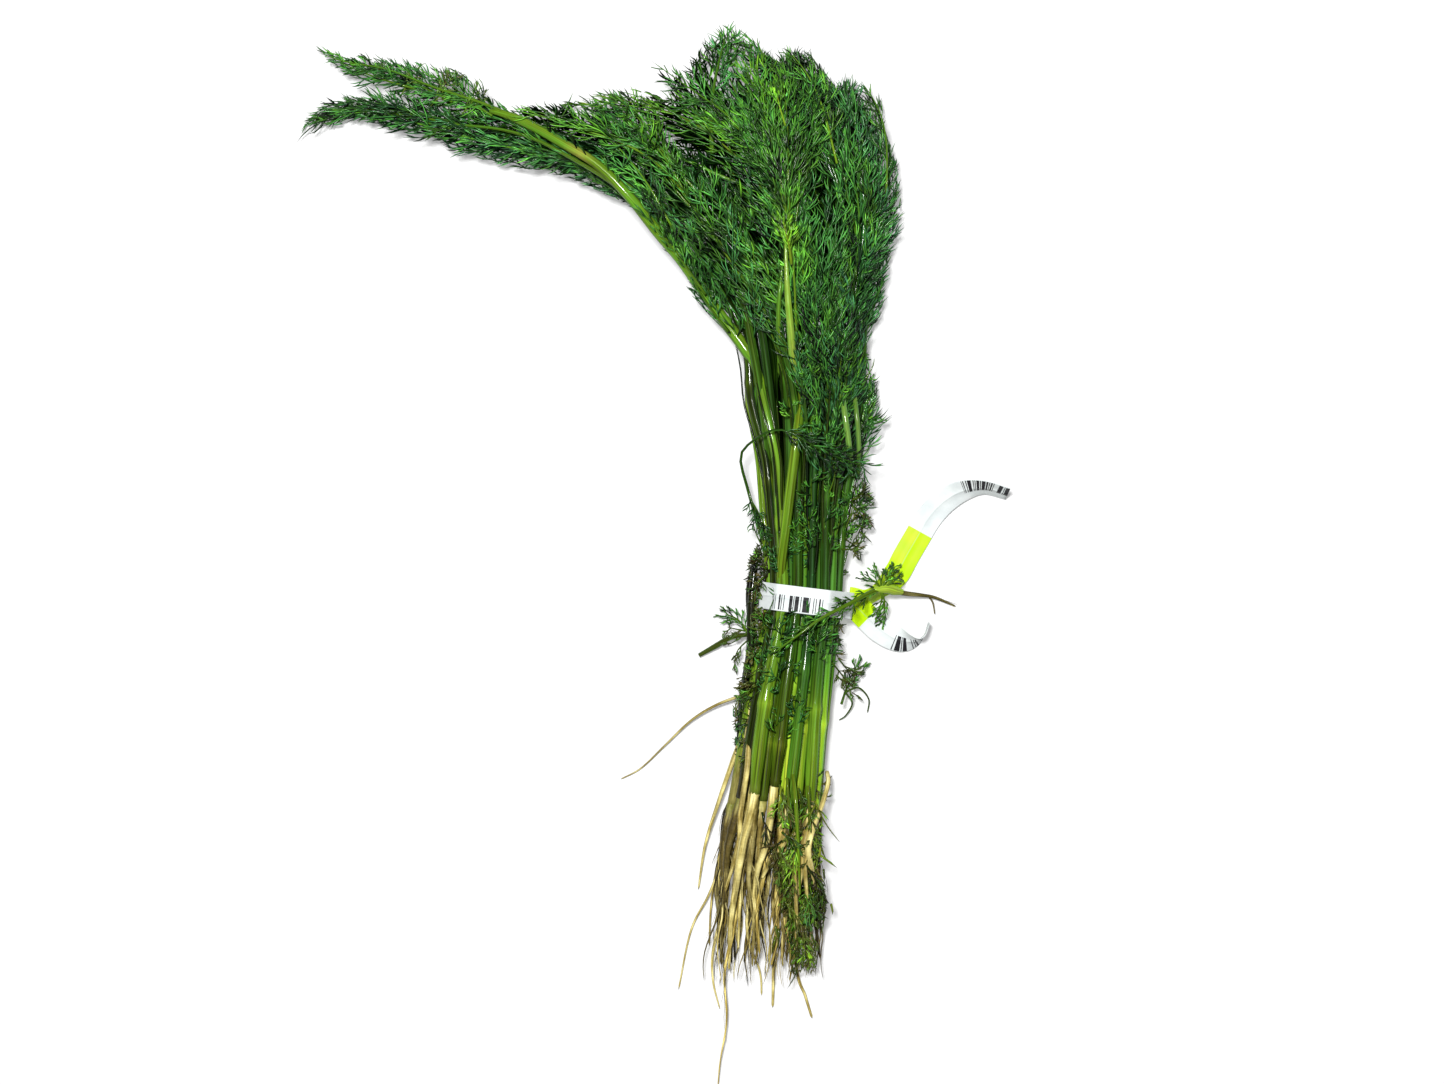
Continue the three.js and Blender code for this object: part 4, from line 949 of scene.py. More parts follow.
def rootlets(part, rng, line, count, girth, reach, light=0.5):
    """Thin roots that leave the line and run on beside it."""
    for _ in range(count):
        d = line.length * rng.uniform(0.05, 0.8)
        length = min(reach * rng.uniform(0.4, 1.1), line.length - d + 12)
        steps = np.linspace(0, length, ROOTLET_POINTS)
        heads = line.head(d + steps)
        side, up = across_of(heads)
        turn, lean = rng.uniform(0, 6.3), rng.uniform(0.1, 0.45)
        out = lean * length * (1 - np.exp(-steps / 18))
        away = (side * math.cos(turn) + up * math.sin(turn)) * out[:, None]
        sway = side * (1.3 * np.sin(steps / 7 + rng.uniform(0, 6)) * np.minimum(1, steps / 12))[:, None]
        points = line.at(d + steps * math.cos(lean)) + away * 0.45 + sway
        thinner = np.linspace(1, 0.3, ROOTLET_POINTS)
        thick = girth * rng.uniform(0.5, 1.2) * (1.1 - 0.9 * d / line.length) * thinner
        part.limbs(points[None], thick[None], 5, np.array([root_tone(rng, light)]))


# Long roots that show one by one: the plant, the spots, and the radii along it.
LONG_ROOTS = [
    (15, [(756, 680, 12), (747, 740, 18), (744, 790, 17), (742, 850, 14), (734, 930, 6)],
     [0.4, 1.4, 1.3, 1.1, 0.5]),
    (15, [(760, 690, 15), (753, 760, 21), (748, 830, 18), (741, 900, 12), (738, 955, 4)],
     [0.4, 1.2, 1.3, 1.0, 0.5]),
    (15, [(750, 700, 14), (748, 765, 25), (741, 813, 24), (738, 850, 21), (722, 905, 10)],
     [0.4, 1.4, 1.4, 1.2, 0.5]),
    (15, [(750, 715, 8), (734, 760, 10), (718, 806, 7), (705, 848, 4), (698, 893, 1.5)],
     [0.5, 1.3, 1.0, 0.7, 0.4]),
    (9, [(748, 706, 8), (738, 770, 12), (733, 830, 10), (727, 900, 6), (722, 960, 2)],
     [0.4, 1.2, 1.2, 0.9, 0.4]),
    (9, [(745, 780, 5), (724, 840, 6), (712, 900, 3), (709, 950, 1.5)], [0.6, 0.9, 0.6, 0.4]),
    (9, [(736, 850, 8), (722, 915, 5), (713, 955, 3), (713, 985, 1.5), (720, 1014, 1)],
     [0.6, 0.9, 0.8, 0.6, 0.3]),
    (9, [(742, 805, 4), (712, 890, 4), (691, 933, 1.5), (678, 994, 1)], [0.6, 0.6, 0.5, 0.35]),
    (16, [(756, 835, 8), (747, 930, 7), (760, 975, 3), (762, 1000, 1)], [0.8, 1.0, 0.6, 0.4]),
    (21, [(790, 860, 10), (776, 940, 6), (773, 1012, 1)], [0.8, 1.0, 0.6]),
    (22, [(790, 870, 8), (797, 970, 4), (806, 1000, 2), (813, 1023, 1)], [0.8, 1.0, 0.8, 0.6]),
    (20, [(756, 787, 27), (753, 806, 28), (744, 843, 26), (738, 877, 22), (731, 926, 14), (729, 975, 5)],
     [2.3, 2.2, 2.0, 1.6, 1.2, 0.5]),
    (21, [(775, 780, 27), (773, 800, 28), (767, 845, 28), (757, 877, 24), (755, 911, 19), (758, 950, 11)],
     [2.0, 1.9, 1.6, 1.4, 1.0, 0.4]),
    (22, [(789, 806, 26), (788, 822, 28), (785, 842, 30), (772, 862, 27), (762, 882, 23)],
     [2.0, 2.0, 1.9, 1.5, 0.7]),
    (23, [(811, 804, 24), (810, 822, 27), (804, 855, 30), (796, 916, 22)], [2.2, 2.1, 1.5, 0.6]),
    (14, [(828, 774, 12), (829, 786, 17), (822, 810, 25), (815, 828, 30), (809, 850, 32), (811, 868, 30),
     (816, 890, 24)], [1.0, 1.2, 1.2, 1.3, 1.8, 1.6, 0.6]),
    (19, [(816, 815, 22), (812, 838, 31), (806, 868, 31), (808, 905, 24), (806, 935, 18)],
     [0.7, 1.1, 1.1, 0.8, 0.4]),
    (22, [(800, 855, 22), (796, 878, 32), (797, 915, 25), (796, 950, 18), (790, 985, 9)],
     [0.6, 1.0, 1.0, 0.8, 0.4]),
]


def root_line(plant, t, longest):
    """The taproot's line. The left roots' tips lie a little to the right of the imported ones."""
    shift = 9 * np.clip(-plant.u - 0.3, 0, 0.7) / 0.7 * ease((2.7 - t) / 1.5)
    if longest:
        shift = -4 * np.exp(-((t - 1.1) / 0.6) ** 2)
    return Line(plant.at(t) + np.outer(shift, (1, 0, 0)))


def grow_root(plant):
    """One taproot with its rootlets, and the long roots that lie on it."""
    part, rng = Part(), np.random.default_rng(300 + plant.id)
    longest = plant.id == LONGEST_ROOT
    for rows, thick in own(LONG_ROOTS, plant):
        twig(part, spots(rows), thick, [rng.uniform(0.4, 0.9), 0.55, 1], sides=8, count=50)
    last = plant.root_end if longest else max(plant.root_end, SHORTEST_ROOT)
    t = np.linspace(plant.collar, last, ROOT_POINTS)
    line = root_line(plant, t, longest)
    points = wander(rng, line, ROOT_POINTS, ROOT_SWAY)
    share = np.linspace(0, 1, ROOT_POINTS)
    radius = spline(ROOT_SHARES, share * (len(ROOT_SHARES) - 1))[:, 0] * plant.radius([plant.collar])[0]
    # Roots under the top layer, away from the left side, are darker: painted shade.
    light = 0.46 if plant.w > ON_TOP or plant.u < -AT_EDGE else 0.32
    if longest:
        radius = radius * (1 - 0.5 * ease((2.2 - t) / 1.2))
        light = 0.62
    radius = radius * (1 + 0.07 * np.sin(share * 60 + rng.uniform(0, 6)) + 0.05 * np.sin(share * 131))
    tone = np.array(root_tone(rng, light))
    tones = tone + np.outer(1 - ease(share / 0.12), [0, 0.1, -0.35])
    part.limbs(points[None], radius[None], 10, tones[None])
    if not longest:
        rootlets(part, rng, line, count=4, girth=1.0, reach=60, light=light)
    rootlets(part, rng, line, count=4 if longest else 20, girth=0.36, reach=34, light=0.42)
    # Dark fine roots among the lower ones: painted shade in the root mass.
    if plant.w < 0 and abs(plant.u) < AT_EDGE:
        rootlets(part, rng, line, count=10, girth=0.6, reach=45, light=0.2)
    return part


# ---------------------------------------------------------------- the tie

TIE_WIDTH, PAPER, TIE_TURN = 12.7, 0.4, -7
TIE_CLEAR = 0.9  # from the outer stems to the middle of the paper
WRAP_POINTS, RING_POINTS, TAIL_POINTS = 150, 140, 90
WRAP, UPPER, LOWER = range(3)  # the tie's zones
CROSSING = (23, 14)
# The tails' centre lines: x, y and z in mm, and the way across the ribbon there.
UPPER_TAIL = [
    [22, 0, 14.6, 0.12, 1, 0], [28, -0.5, 11.5, -0.1, 0.8, 0.6], [33, 2, 8.8, -0.3, 0.45, 0.85],
    [39, 6.5, 6, -0.55, 0.4, 0.7], [45.5, 12.5, 2.6, -0.82, 0.55, 0.15], [50, 20.5, 1.2, -0.875, 0.48, 0],
    [55.5, 30, 1.2, -0.875, 0.48, 0], [61.5, 40, 1.8, -0.8, 0.6, 0.05], [69, 48, 4, -0.5, 0.8, 0.3],
    [78, 52.8, 6, -0.2, 0.75, 0.63], [88, 54, 6.9, 0, 0.5, 0.87], [99, 51, 6.9, 0.1, 0.4, 0.9]]
LOWER_TAIL = [
    [22, 0, 13.2, 0.12, 1, 0], [27, -4.5, 10.5, 0.45, 0.89, 0], [32, -9.5, 7.5, 0.66, 0.75, 0],
    [37.5, -14.5, 5, 0.66, 0.75, 0], [45.5, -19, 4.2, 0.5, 0.8, 0.33], [53.5, -20, 6, 0.15, 0.5, 0.85],
    [58.5, -17.5, 6.9, 0, 0.05, 1], [61, -11, 6.9, 0, 0, 1]]
# The ribbon's section: the paper on both faces, with the wire's ridge along the middle.
ACROSS_TIE = np.array([-1, -0.94, -0.5, -0.12, -0.06, 0, 0.06, 0.12, 0.5, 0.94, 1])
RIDGE = np.array([0.6, 1, 1, 1.15, 2.0, 2.6, 2.0, 1.15, 1, 1, 0.6]) * PAPER / 2


def ribbon_faces(n, m, closed):
    """The triangles of a ribbon of n sections with m points each."""
    faces = tube_faces(n, m, closed)
    if not closed:
        end = (n - 1) * m
        for j in range(m // 2 - 1):
            faces += [[j, m - 1 - j, m - 2 - j], [j, m - 2 - j, j + 1]]
            faces += [[end + j, end + m - 2 - j, end + m - 1 - j], [end + j, end + j + 1, end + m - 2 - j]]
    return np.array(faces)[:, ::-1]


def ribbon(part, centre, wide, closed, zone):
    """A ribbon along the centre line with its width along wide. Its tone is (across, zone, along in mm)."""
    heads = np.roll(centre, -1, 0) - np.roll(centre, 1, 0) if closed else np.gradient(centre, axis=0)
    heads = unit(heads)
    wide = unit(wide - heads * np.sum(wide * heads, axis=1, keepdims=True))
    up = np.cross(heads, wide)
    top, bottom = np.stack([ACROSS_TIE, RIDGE]), np.stack([ACROSS_TIE, -RIDGE])[:, ::-1]
    a, r = np.concatenate([top, bottom], axis=1)
    points = centre[:, None] + a[:, None] * wide[:, None] * TIE_WIDTH / 2 + r[:, None] * up[:, None]
    along = np.concatenate([[0], np.cumsum(np.linalg.norm(np.diff(centre, axis=0), axis=1))])
    tones = np.stack(np.broadcast_arrays(a, zone, along[:, None]), axis=-1).reshape(-1, 3)
    part.add(points.reshape(-1, 3), ribbon_faces(*points.shape[:2], closed), tones, tones, 0)


def wrap_line(distance, lowest):
    """The taut line round the outer stems and out to the crossing, flat underneath."""
    t = np.array([TIE - 0.2, TIE, TIE + 0.2])
    rounds = np.concatenate([np.column_stack([plant.at(t)[:, [0, 2]], plant.radius(t)]) for plant in PLANTS])
    rounds = np.vstack([rounds, [*CROSSING, 0]])
    angle = 2 * math.pi * np.arange(WRAP_POINTS) / WRAP_POINTS
    way = np.stack([np.cos(angle), np.sin(angle)], axis=1)
    outer = rounds[np.argmax(way @ rounds[:, :2].T + rounds[:, 2], axis=1)]
    line = outer[:, :2] + (outer[:, 2:] + distance) * way
    return np.stack([line[:, 0], np.maximum(line[:, 1], lowest)], axis=1)


def grow_tie():
    """The wrap round the stems, and its two tails."""
    part = Part()
    corner = wrap_line(TIE_CLEAR, PAPER)
    corner = np.vstack([corner, corner[:1]])
    loop = Line(np.column_stack([corner[:, 0], 0 * corner[:, 0], corner[:, 1]]))
    ring = loop.at(np.linspace(0, loop.length, RING_POINTS + 1)[:-1])
    turn = math.radians(TIE_TURN)
    ring[:, 1] = ring[:, 0] * math.tan(turn)
    wide = np.tile([-math.sin(turn), math.cos(turn), 0.0], (RING_POINTS, 1))
    ribbon(part, ring, wide, True, WRAP)
    for zone, rows in ((UPPER, UPPER_TAIL), (LOWER, LOWER_TAIL)):
        fine = spline(rows, np.linspace(0, len(rows) - 1, TAIL_POINTS))
        ribbon(part, fine[:, :3], fine[:, 3:], False, zone)
    return part


# ---------------------------------------------------------------- loose bits: places are x, y and z in mm

def twig(part, rows, thick, tone, sides=7, count=24, pointed=True):
    """A bare limb through the places, whose radius runs through those in thick."""
    line = through(rows)
    points = line.at(np.linspace(0, line.length, count))
    radii = np.interp(np.linspace(0, 1, count), np.linspace(0, 1, len(thick)), thick)
    part.limbs(points[None], radii[None], sides, np.array([tone]), STEM, pointed)
    return line


def sprig(seed, rows, width, tone, **more):
    """A loose leaf, and the draws for what else is on it."""
    part, rng = Part(), np.random.default_rng(seed)
    frond(part, rng, through(rows), width, tone, **more)
    return part, rng


def sprig_over():
    """The leaf that rises at the left above the tie and arches over the stems."""
    arch = [[-19, 27, 12], [-26.5, 53, 17], [-30, 68.5, 23], [-24, 76, 30], [-14, 81, 37], [-5, 79, 39],
            [1.4, 75, 39.5], [14, 68.6, 38], [31.5, 63, 31]]
    part, rng = sprig(11, arch, 13, [0.3, 0.32, 0], bare=0.6, reach=10.0, gap=5.0, stalk=0.9, every=3.0)
    for rows in ([[-26.5, 53, 17], [-24, 46, 18], [-21, 40, 20]],
                 [[-25, 48, 17], [-21, 41, 20], [-19, 34, 21]],
                 [[-23, 40, 16], [-20, 33, 19], [-17, 26, 20]]):
        scrap(part, rng, through(rows), 7, [0.35, 0.38, 0])
    return part


def sprig_in_tie():
    """The seedling that lies across the tie, with a swollen collar and leaflets round it."""
    across = [[46, 3.8, 10], [39, 5.5, 15], [32, 3.5, 19.5], [25, 0, 24.5], [18, -3.5, 29],
              [8, -8.5, 32.5], [-1.5, -15.5, 33.5], [-16, -26, 31]]
    part, rng = sprig(12, across, 9, [0.55, 0.4, 0], bare=0.1, reach=7.0, gap=7.0, stalk=1.5)
    bulb = [[34, 5, 18], [40, 5.4, 14.5], [44, 4.6, 11.5], [48.5, 3.5, 8.6]]
    twig(part, bulb, [1.3, 2.4, 2.6, 1.3], [0.75, 0.6, 0.12], sides=9)
    start, bow = [37.5, 5.2, 16.3], (1.5, 1.0, 2.5)
    ends = [[33, 15, 14], [40, 14, 12], [47, 11, 9], [35, -8, 9], [38, -12, 7], [28, 11, 17], [44, 17, 8]]
    for end in ends:
        middle = [(a + b) / 2 + c for a, b, c in zip(start, end, bow)]
        frond(part, rng, through([start, middle, end]), 6, [0.5, 0.4, 0], bare=0.2, gap=3.2, reach=5.0)
    return part


def sprig_left():
    """A torn leaf and a bare stalk at the left of the stems."""
    rachis = [[-26, -16.9, 10], [-29, -12, 8.5], [-33, -8.5, 6], [-38, -7, 4]]
    part, rng = sprig(13, rachis, 9, [0.5, 0.4, 0], bare=0.1, reach=6.0, gap=3.0, stalk=0.8)
    stalk = [[-24, -16.5, 11], [-34, -18, 6], [-42, -22.5, 3.5], [-50, -27, 2.4]]
    twig(part, stalk, [1.0, 1.2, 1.4, 1.0], [0.6, 0.3, 0.15], sides=9, count=16, pointed=False)
    for rows in ([[-27, -16, 11], [-31, -19, 8], [-36, -22, 5]],
                 [[-26, -19, 11], [-31, -24, 8], [-33, -29, 5]],
                 [[-28, -15, 10], [-33, -14, 7], [-37, -13, 5]]):
        scrap(part, rng, through(rows), 6, [0.4, 0.36, 0.1])
    return part


def sprig_right():
    """A torn leaf with two fine stalks at the right, below the tie."""
    rachis = [[18.5, -50, 13], [21, -43, 9], [24.5, -37, 6], [28, -31, 4]]
    part, rng = sprig(14, rachis, 10, [0.4, 0.35, 0], bare=0.3, reach=7.0, gap=3.5, stalk=0.7)
    for rows in ([[20.5, -44.5, 9.6], [24, -50, 5], [21, -56, 2.5], [17.5, -58.5, 1.2]],
                 [[20.5, -44.5, 9.6], [27, -42.5, 6], [32, -48, 3], [31.5, -55, 1.2]]):
        twig(part, rows, [0.55, 0.45, 0.3], [0.4, 0.35, 0.1])
    for rows in ([[14, -30, 19], [18, -35, 14], [23, -42, 8]],
                 [[16, -36, 16], [20, -40, 12], [24, -45, 8]],
                 [[17, -28, 15], [21, -33, 11], [26, -38, 7]]):
        scrap(part, rng, through(rows), 6, [0.4, 0.33, 0.1])
    return part


LOW_SPRIGS = [
    [[-8, -84, 33], [-7, -105, 32], [-8, -128, 29], [-5, -150, 22], [-3, -172, 14]],
    [[2, -88, 31.5], [3, -108, 29], [3.5, -128, 24.5], [5, -152, 16]],
]
LOW_SEED, LOW_LEAFLETS, LOWEST = 15, 34, 1.5


def leaflet_line(rng, line):
    """A short line ahead of a place on the sprig, above the floor."""
    start, turn = line.length * rng.uniform(0.0, 0.9) ** 0.7, rng.normal(0, 0.35)
    length, (x, y, z) = rng.uniform(12, 30), line.head(start)
    cos, sin = math.cos(turn), math.sin(turn)
    head = unit(np.array([x * cos - y * sin, x * sin + y * cos, z + rng.normal(0, 0.1)]))
    bend = np.array([rng.normal(0, 2.5), 0, rng.uniform(0, 2)])
    base = line.at(start) + np.array([rng.normal(0, 4.5), 0, rng.normal(0.5, 1.5)])
    points = [base + head * length * j / 3 + bend * math.sin(j) for j in range(4)]
    return through([[x, y, max(z, LOWEST)] for x, y, z in points])


def sprig_low(rows, seed):
    """A tangle of torn leaves that lies on the roots."""
    part, rng = Part(), np.random.default_rng(seed)
    part.edge = LOW_EDGE
    line = through(rows)
    frond(part, rng, line, 8, [0.7, 0.34, 0], bare=0.05, gap=9.0, reach=9.0, stalk=0.8)
    for k in range(LOW_LEAFLETS):
        leaflet = leaflet_line(rng, line)
        tone = [rng.uniform(0.3, 1.0), rng.uniform(0.18, 0.45), rng.uniform(0, 0.25)]
        if k % 3:
            width, tilt = rng.uniform(6, 11), rng.normal(0, 0.4)
            frond(part, rng, leaflet, width, tone, tilt, 0.05, gap=4.5, reach=8.0, lean=0.5, every=3.0)
        else:
            scrap(part, rng, leaflet, rng.uniform(5, 9), tone)
    return part


def loose_leaves():
    """Each loose leaf, after the name of its node."""
    yield "sprig_over", sprig_over()
    yield "sprig_in_tie", sprig_in_tie()
    yield "sprig_left", sprig_left()
    yield "sprig_right", sprig_right()
    for n, rows in enumerate(LOW_SPRIGS):
        yield f"sprig_low_{n + 1}", sprig_low(rows, LOW_SEED + n)


def tied_root():
    """The root of the seedling in the tie."""
    part, rng = Part(), np.random.default_rng(21)
    main = [[46.5, 3.6, 9.7], [50.5, 2.9, 8], [57, 2.2, 5.5], [64, 1, 3.5], [74.5, -3.4, 1.2]]
    line = twig(part, main, [1.3, 1.1, 0.8, 0.7, 0.4], [0.3, 0.35, 0.95], sides=8)
    twig(part, [[61, 1.6, 4.2], [63, -1.5, 3.4], [64, -7, 2.5]], [0.5, 0.4, 0.3], [0.3, 0.35, 1])
    rootlets(part, rng, line, count=3, girth=0.25, reach=14)
    return part


def stray_root():
    """The single root that runs out to the left."""
    part = Part()
    rows = [[-29, -46, 8], [-42, -51, 6], [-54, -58.5, 4], [-66, -70, 2.5], [-78, -81.5, 1.5], [-88, -87, 1]]
    twig(part, rows, [0.8, 0.6, 0.42, 0.3], [0.6, 0.5, 1], sides=8, count=60)
    return part


# ---------------------------------------------------------------- materials

class Nodes:
    """Short hand for a material's node tree."""

    def __init__(self, name, roughness, coat=0.0, coat_roughness=0.1, specular=0.5):
        self.material = bpy.data.materials.new(name)
        self.material.use_nodes = True
        self.tree = self.material.node_tree
        self.shader = self.tree.nodes["Principled BSDF"]
        looks = {"Roughness": roughness, "Coat Weight": coat, "Coat Roughness": coat_roughness,
                 "Specular IOR Level": specular}
        for label, value in looks.items():
            self.shader.inputs[label].default_value = value

    def add(self, kind, **values):
        node = self.tree.nodes.new(kind)
        for label, value in values.items():
            if hasattr(node, label):
                setattr(node, label, value)
            else:
                node.inputs[label.replace("_", " ")].default_value = value
        return node

    def link(self, a, b):
        self.tree.links.new(a, b)

    def attribute(self, name):
        return self.add("ShaderNodeAttribute", attribute_name=name)

    def channels(self, name):
        """The three numbers of a vertex attribute."""
        split = self.add("ShaderNodeSeparateXYZ")
        self.link(self.attribute(name).outputs["Vector"], split.inputs[0])
        return split.outputs

    def math(self, operation, a, b=None, c=None):
        node = self.add("ShaderNodeMath", operation=operation)
        for value, socket in zip((a, b, c), node.inputs):
            if value is None:
                continue
            if isinstance(value, (int, float)):
                socket.default_value = value
            else:
                self.link(value, socket)
        return node.outputs[0]

    def swing(self, value, size):
        """A value from 0 to 1 made to swing about 0, by size from end to end."""
        return self.math("MULTIPLY_ADD", value, size, -size / 2)

    def ramp(self, value, stops):
        node = self.add("ShaderNodeValToRGB")
        while len(node.color_ramp.elements) < len(stops):
            node.color_ramp.elements.new(0.5)
        for element, (position, color) in zip(node.color_ramp.elements, stops):
            element.position, element.color = position, (*color, 1)
        self.link(value, node.inputs[0])
        return node.outputs[0]

    def noise(self, scale, stretch, detail=3.0):
        """Noise along the limb's grain."""
        stretched = self.add("ShaderNodeVectorMath", operation="MULTIPLY")
        self.link(self.attribute("grain").outputs["Vector"], stretched.inputs[0])
        stretched.inputs[1].default_value = stretch
        node = self.add("ShaderNodeTexNoise", Scale=scale, Detail=detail)
        self.link(stretched.outputs[0], node.inputs["Vector"])
        return node.outputs[0]

    def space_noise(self, scale, detail=3.0):
        """Noise in space, whatever the limb."""
        node = self.add("ShaderNodeTexNoise", Scale=scale, Detail=detail)
        self.link(self.add("ShaderNodeTexCoord").outputs["Object"], node.inputs["Vector"])
        return node.outputs[0]

    def mix(self, factor, a, b, blend="MIX"):
        node = self.add("ShaderNodeMix", data_type="RGBA", blend_type=blend)
        sockets = node.inputs[0], node.inputs[6], node.inputs[7]  # the factor and the two colours
        for value, socket in zip((factor, a, b), sockets):
            if isinstance(value, (int, float)):
                socket.default_value = value
            elif isinstance(value, tuple):
                socket.default_value = (*value, 1)
            else:
                self.link(value, socket)
        return node.outputs[2]

    def bump(self, height, strength, distance):
        node = self.add("ShaderNodeBump", Strength=strength, Distance=distance)
        self.link(height, node.inputs["Height"])
        self.link(node.outputs[0], self.shader.inputs["Normal"])

    def color(self, value):
        self.link(value, self.shader.inputs["Base Color"])


# Colours are given by how far up the ramp they lie.
GREENS = [(0.0, (0.024, 0.095, 0.034)), (0.4, (0.029, 0.122, 0.017)), (0.75, (0.072, 0.21, 0.012)),
          (1.0, (0.18, 0.40, 0.018))]
STEM_GREENS = [(0.0, (0.018, 0.085, 0.020)), (0.45, (0.055, 0.16, 0.010)), (0.8, (0.15, 0.26, 0.012)),
               (1.0, (0.26, 0.33, 0.02))]
CREAMS = [(0.3, (0.09, 0.06, 0.01)), (0.7, (0.36, 0.30, 0.10))]
ROOT_BROWNS = [(0.25, (0.060, 0.040, 0.006)), (0.45, (0.18, 0.135, 0.030)), (0.62, (0.40, 0.34, 0.12)),
               (0.85, (0.60, 0.55, 0.27))]
WHITES = [(0.3, (0.50, 0.54, 0.54)), (0.7, (0.64, 0.67, 0.66))]
LIMES = [(0.3, (0.35, 0.58, 0.002)), (0.7, (0.44, 0.68, 0.004))]
FLOOR_WHITES = [(0.3, (0.43, 0.43, 0.43)), (0.7, (0.45, 0.45, 0.45))]
OLD_LEAF, ROOT_GREEN = (0.35, 0.25, 0.06), (0.16, 0.24, 0.03)
RIDGE_GREY, BLACK = (0.3, 0.36, 0.33), (0.012, 0.012, 0.014)
# Where each zone of the tie is lime green and where it has black bars, in mm along the ribbon and in shares
# across it.
LIME_ALONG = {UPPER: (-1, 54), LOWER: (-1, 14)}
BARS_ALONG = {WRAP: (20, 46), UPPER: (84, 106), LOWER: (31, 45)}
BARS_ACROSS = {WRAP: (-0.9, 0.25), UPPER: (-0.3, 0.95), LOWER: (-0.95, 0.3)}
BARS_PER_MM, GAP_SHARE, RIDGE_HALF = 2.6, 0.48, 0.045


LIGHT_POWER, LIGHT_SCALE = 2.6, 6.06


def scaled(nodes, color, amount):
    """A colour made darker or lighter: amount 0.5 leaves it as it is."""
    factor = nodes.math("MULTIPLY", nodes.math("POWER", amount, LIGHT_POWER), LIGHT_SCALE)
    return nodes.mix(1.0, color, factor, "MULTIPLY")


def leaf_material(name, roughness, coat, specular, painted_brightness):
    """painted_brightness is how dark the leaf is: 1 on top, less below, which paints the shade on leaves that
    lie under others.
    """
    nodes = Nodes(name, roughness, coat, 0.2, specular)
    hue, light, age = nodes.channels("tone")
    patch = nodes.space_noise(45)
    hue = nodes.math("ADD", hue, nodes.swing(patch, 0.5))
    color = nodes.ramp(hue, GREENS)
    spread = nodes.swing(nodes.space_noise(160, 2.0), 0.5)
    color = scaled(nodes, color, nodes.math("MULTIPLY", nodes.math("ADD", light, spread), painted_brightness))
    nodes.color(nodes.mix(age, color, OLD_LEAF))
    nodes.bump(nodes.space_noise(1500, 1.0), 0.3, 0.0002)
    return nodes.material


def stem_material(name, coat, specular):
    """Green with fine stripes and longer streaks, cream where it is old."""
    nodes = Nodes(name, 0.5, coat, 0.1, specular)
    hue, light, age = nodes.channels("tone")
    stripes = nodes.noise(5.0, (1, 1, 0.004))
    streaks = nodes.noise(1.0, (1.3, 1.3, 0.035), detail=5.0)
    hue = nodes.math("ADD", hue, nodes.swing(streaks, 1.0))
    color = nodes.ramp(hue, STEM_GREENS)
    amount = nodes.math("ADD", light, nodes.math("MULTIPLY_ADD", stripes, 0.55, -0.27))
    amount = nodes.math("ADD", amount, nodes.swing(streaks, -0.5))
    color = scaled(nodes, color, nodes.math("MAXIMUM", amount, 0.12))
    cream = nodes.ramp(nodes.noise(1.5, (1, 1, 0.1)), CREAMS)
    cream = scaled(nodes, cream, nodes.math("ADD", light, 0.03))
    nodes.color(nodes.mix(age, color, cream))
    nodes.bump(stripes, 0.35, 0.0008)
    return nodes.material


def root_material():
    """Cream and brown blotches with rings across the root, green where it is young."""
    nodes = Nodes("dill_root", 0.55, 0.08, 0.25, 0.15)
    hue, light, age = nodes.channels("tone")
    blotch = nodes.noise(1.0, (0.8, 0.8, 0.09), detail=5.0)
    rings = nodes.noise(1.0, (0.5, 0.5, 1.3), detail=2.0)
    brown = nodes.math("ADD", blotch, nodes.swing(hue, 0.3))
    color = nodes.ramp(brown, ROOT_BROWNS)
    amount = nodes.math("ADD", light, nodes.swing(rings, 0.12))
    streaks = nodes.noise(2.2, (1, 1, 0.03))
    amount = nodes.math("ADD", amount, nodes.swing(streaks, 0.5))
    green = nodes.math("SUBTRACT", 1.0, age)
    nodes.color(nodes.mix(green, scaled(nodes, color, amount), ROOT_GREEN))
    nodes.bump(nodes.math("ADD", rings, blotch), 0.4, 0.0005)
    return nodes.material


def window(nodes, value, span):
    """1 where the value lies within the span, 0 elsewhere."""
    past_low, below_high = nodes.math("GREATER_THAN", value, span[0]), nodes.math("LESS_THAN", value, span[1])
    return nodes.math("MULTIPLY", past_low, below_high)


def in_zones(nodes, zone, areas):
    """1 in each zone's own area, 0 elsewhere."""
    total = 0.0
    for number, area in areas.items():
        here = nodes.math("COMPARE", zone, number, 0.1)
        total = nodes.math("ADD", total, nodes.math("MULTIPLY", here, area))
    return total


def paper_material():
    """White and lime green with black bars. Tone is (across, zone, along in mm)."""
    nodes = Nodes("tie_paper", 0.5, specular=0.15)
    across, zone, along = nodes.channels("tone")
    lime = in_zones(nodes, zone, {number: window(nodes, along, span) for number, span in LIME_ALONG.items()})
    barred = in_zones(nodes, zone, {
        number: nodes.math("MULTIPLY", window(nodes, along, span), window(nodes, across, BARS_ACROSS[number]))
        for number, span in BARS_ALONG.items()})
    cells = nodes.add("ShaderNodeTexWhiteNoise", noise_dimensions="1D")
    nodes.link(nodes.math("FLOOR", nodes.math("MULTIPLY", along, BARS_PER_MM)), cells.inputs["W"])
    bars = nodes.math("MULTIPLY", barred, nodes.math("GREATER_THAN", cells.outputs["Value"], GAP_SHARE))
    patch = nodes.space_noise(90)
    color = nodes.mix(lime, nodes.ramp(patch, WHITES), nodes.ramp(patch, LIMES))
    ridge = nodes.math("LESS_THAN", nodes.math("ABSOLUTE", across), RIDGE_HALF)
    color = nodes.mix(nodes.math("MULTIPLY", ridge, 0.25), color, RIDGE_GREY)
    nodes.color(nodes.mix(bars, color, BLACK))
    nodes.bump(nodes.space_noise(700), 0.2, 0.0002)
    return nodes.material


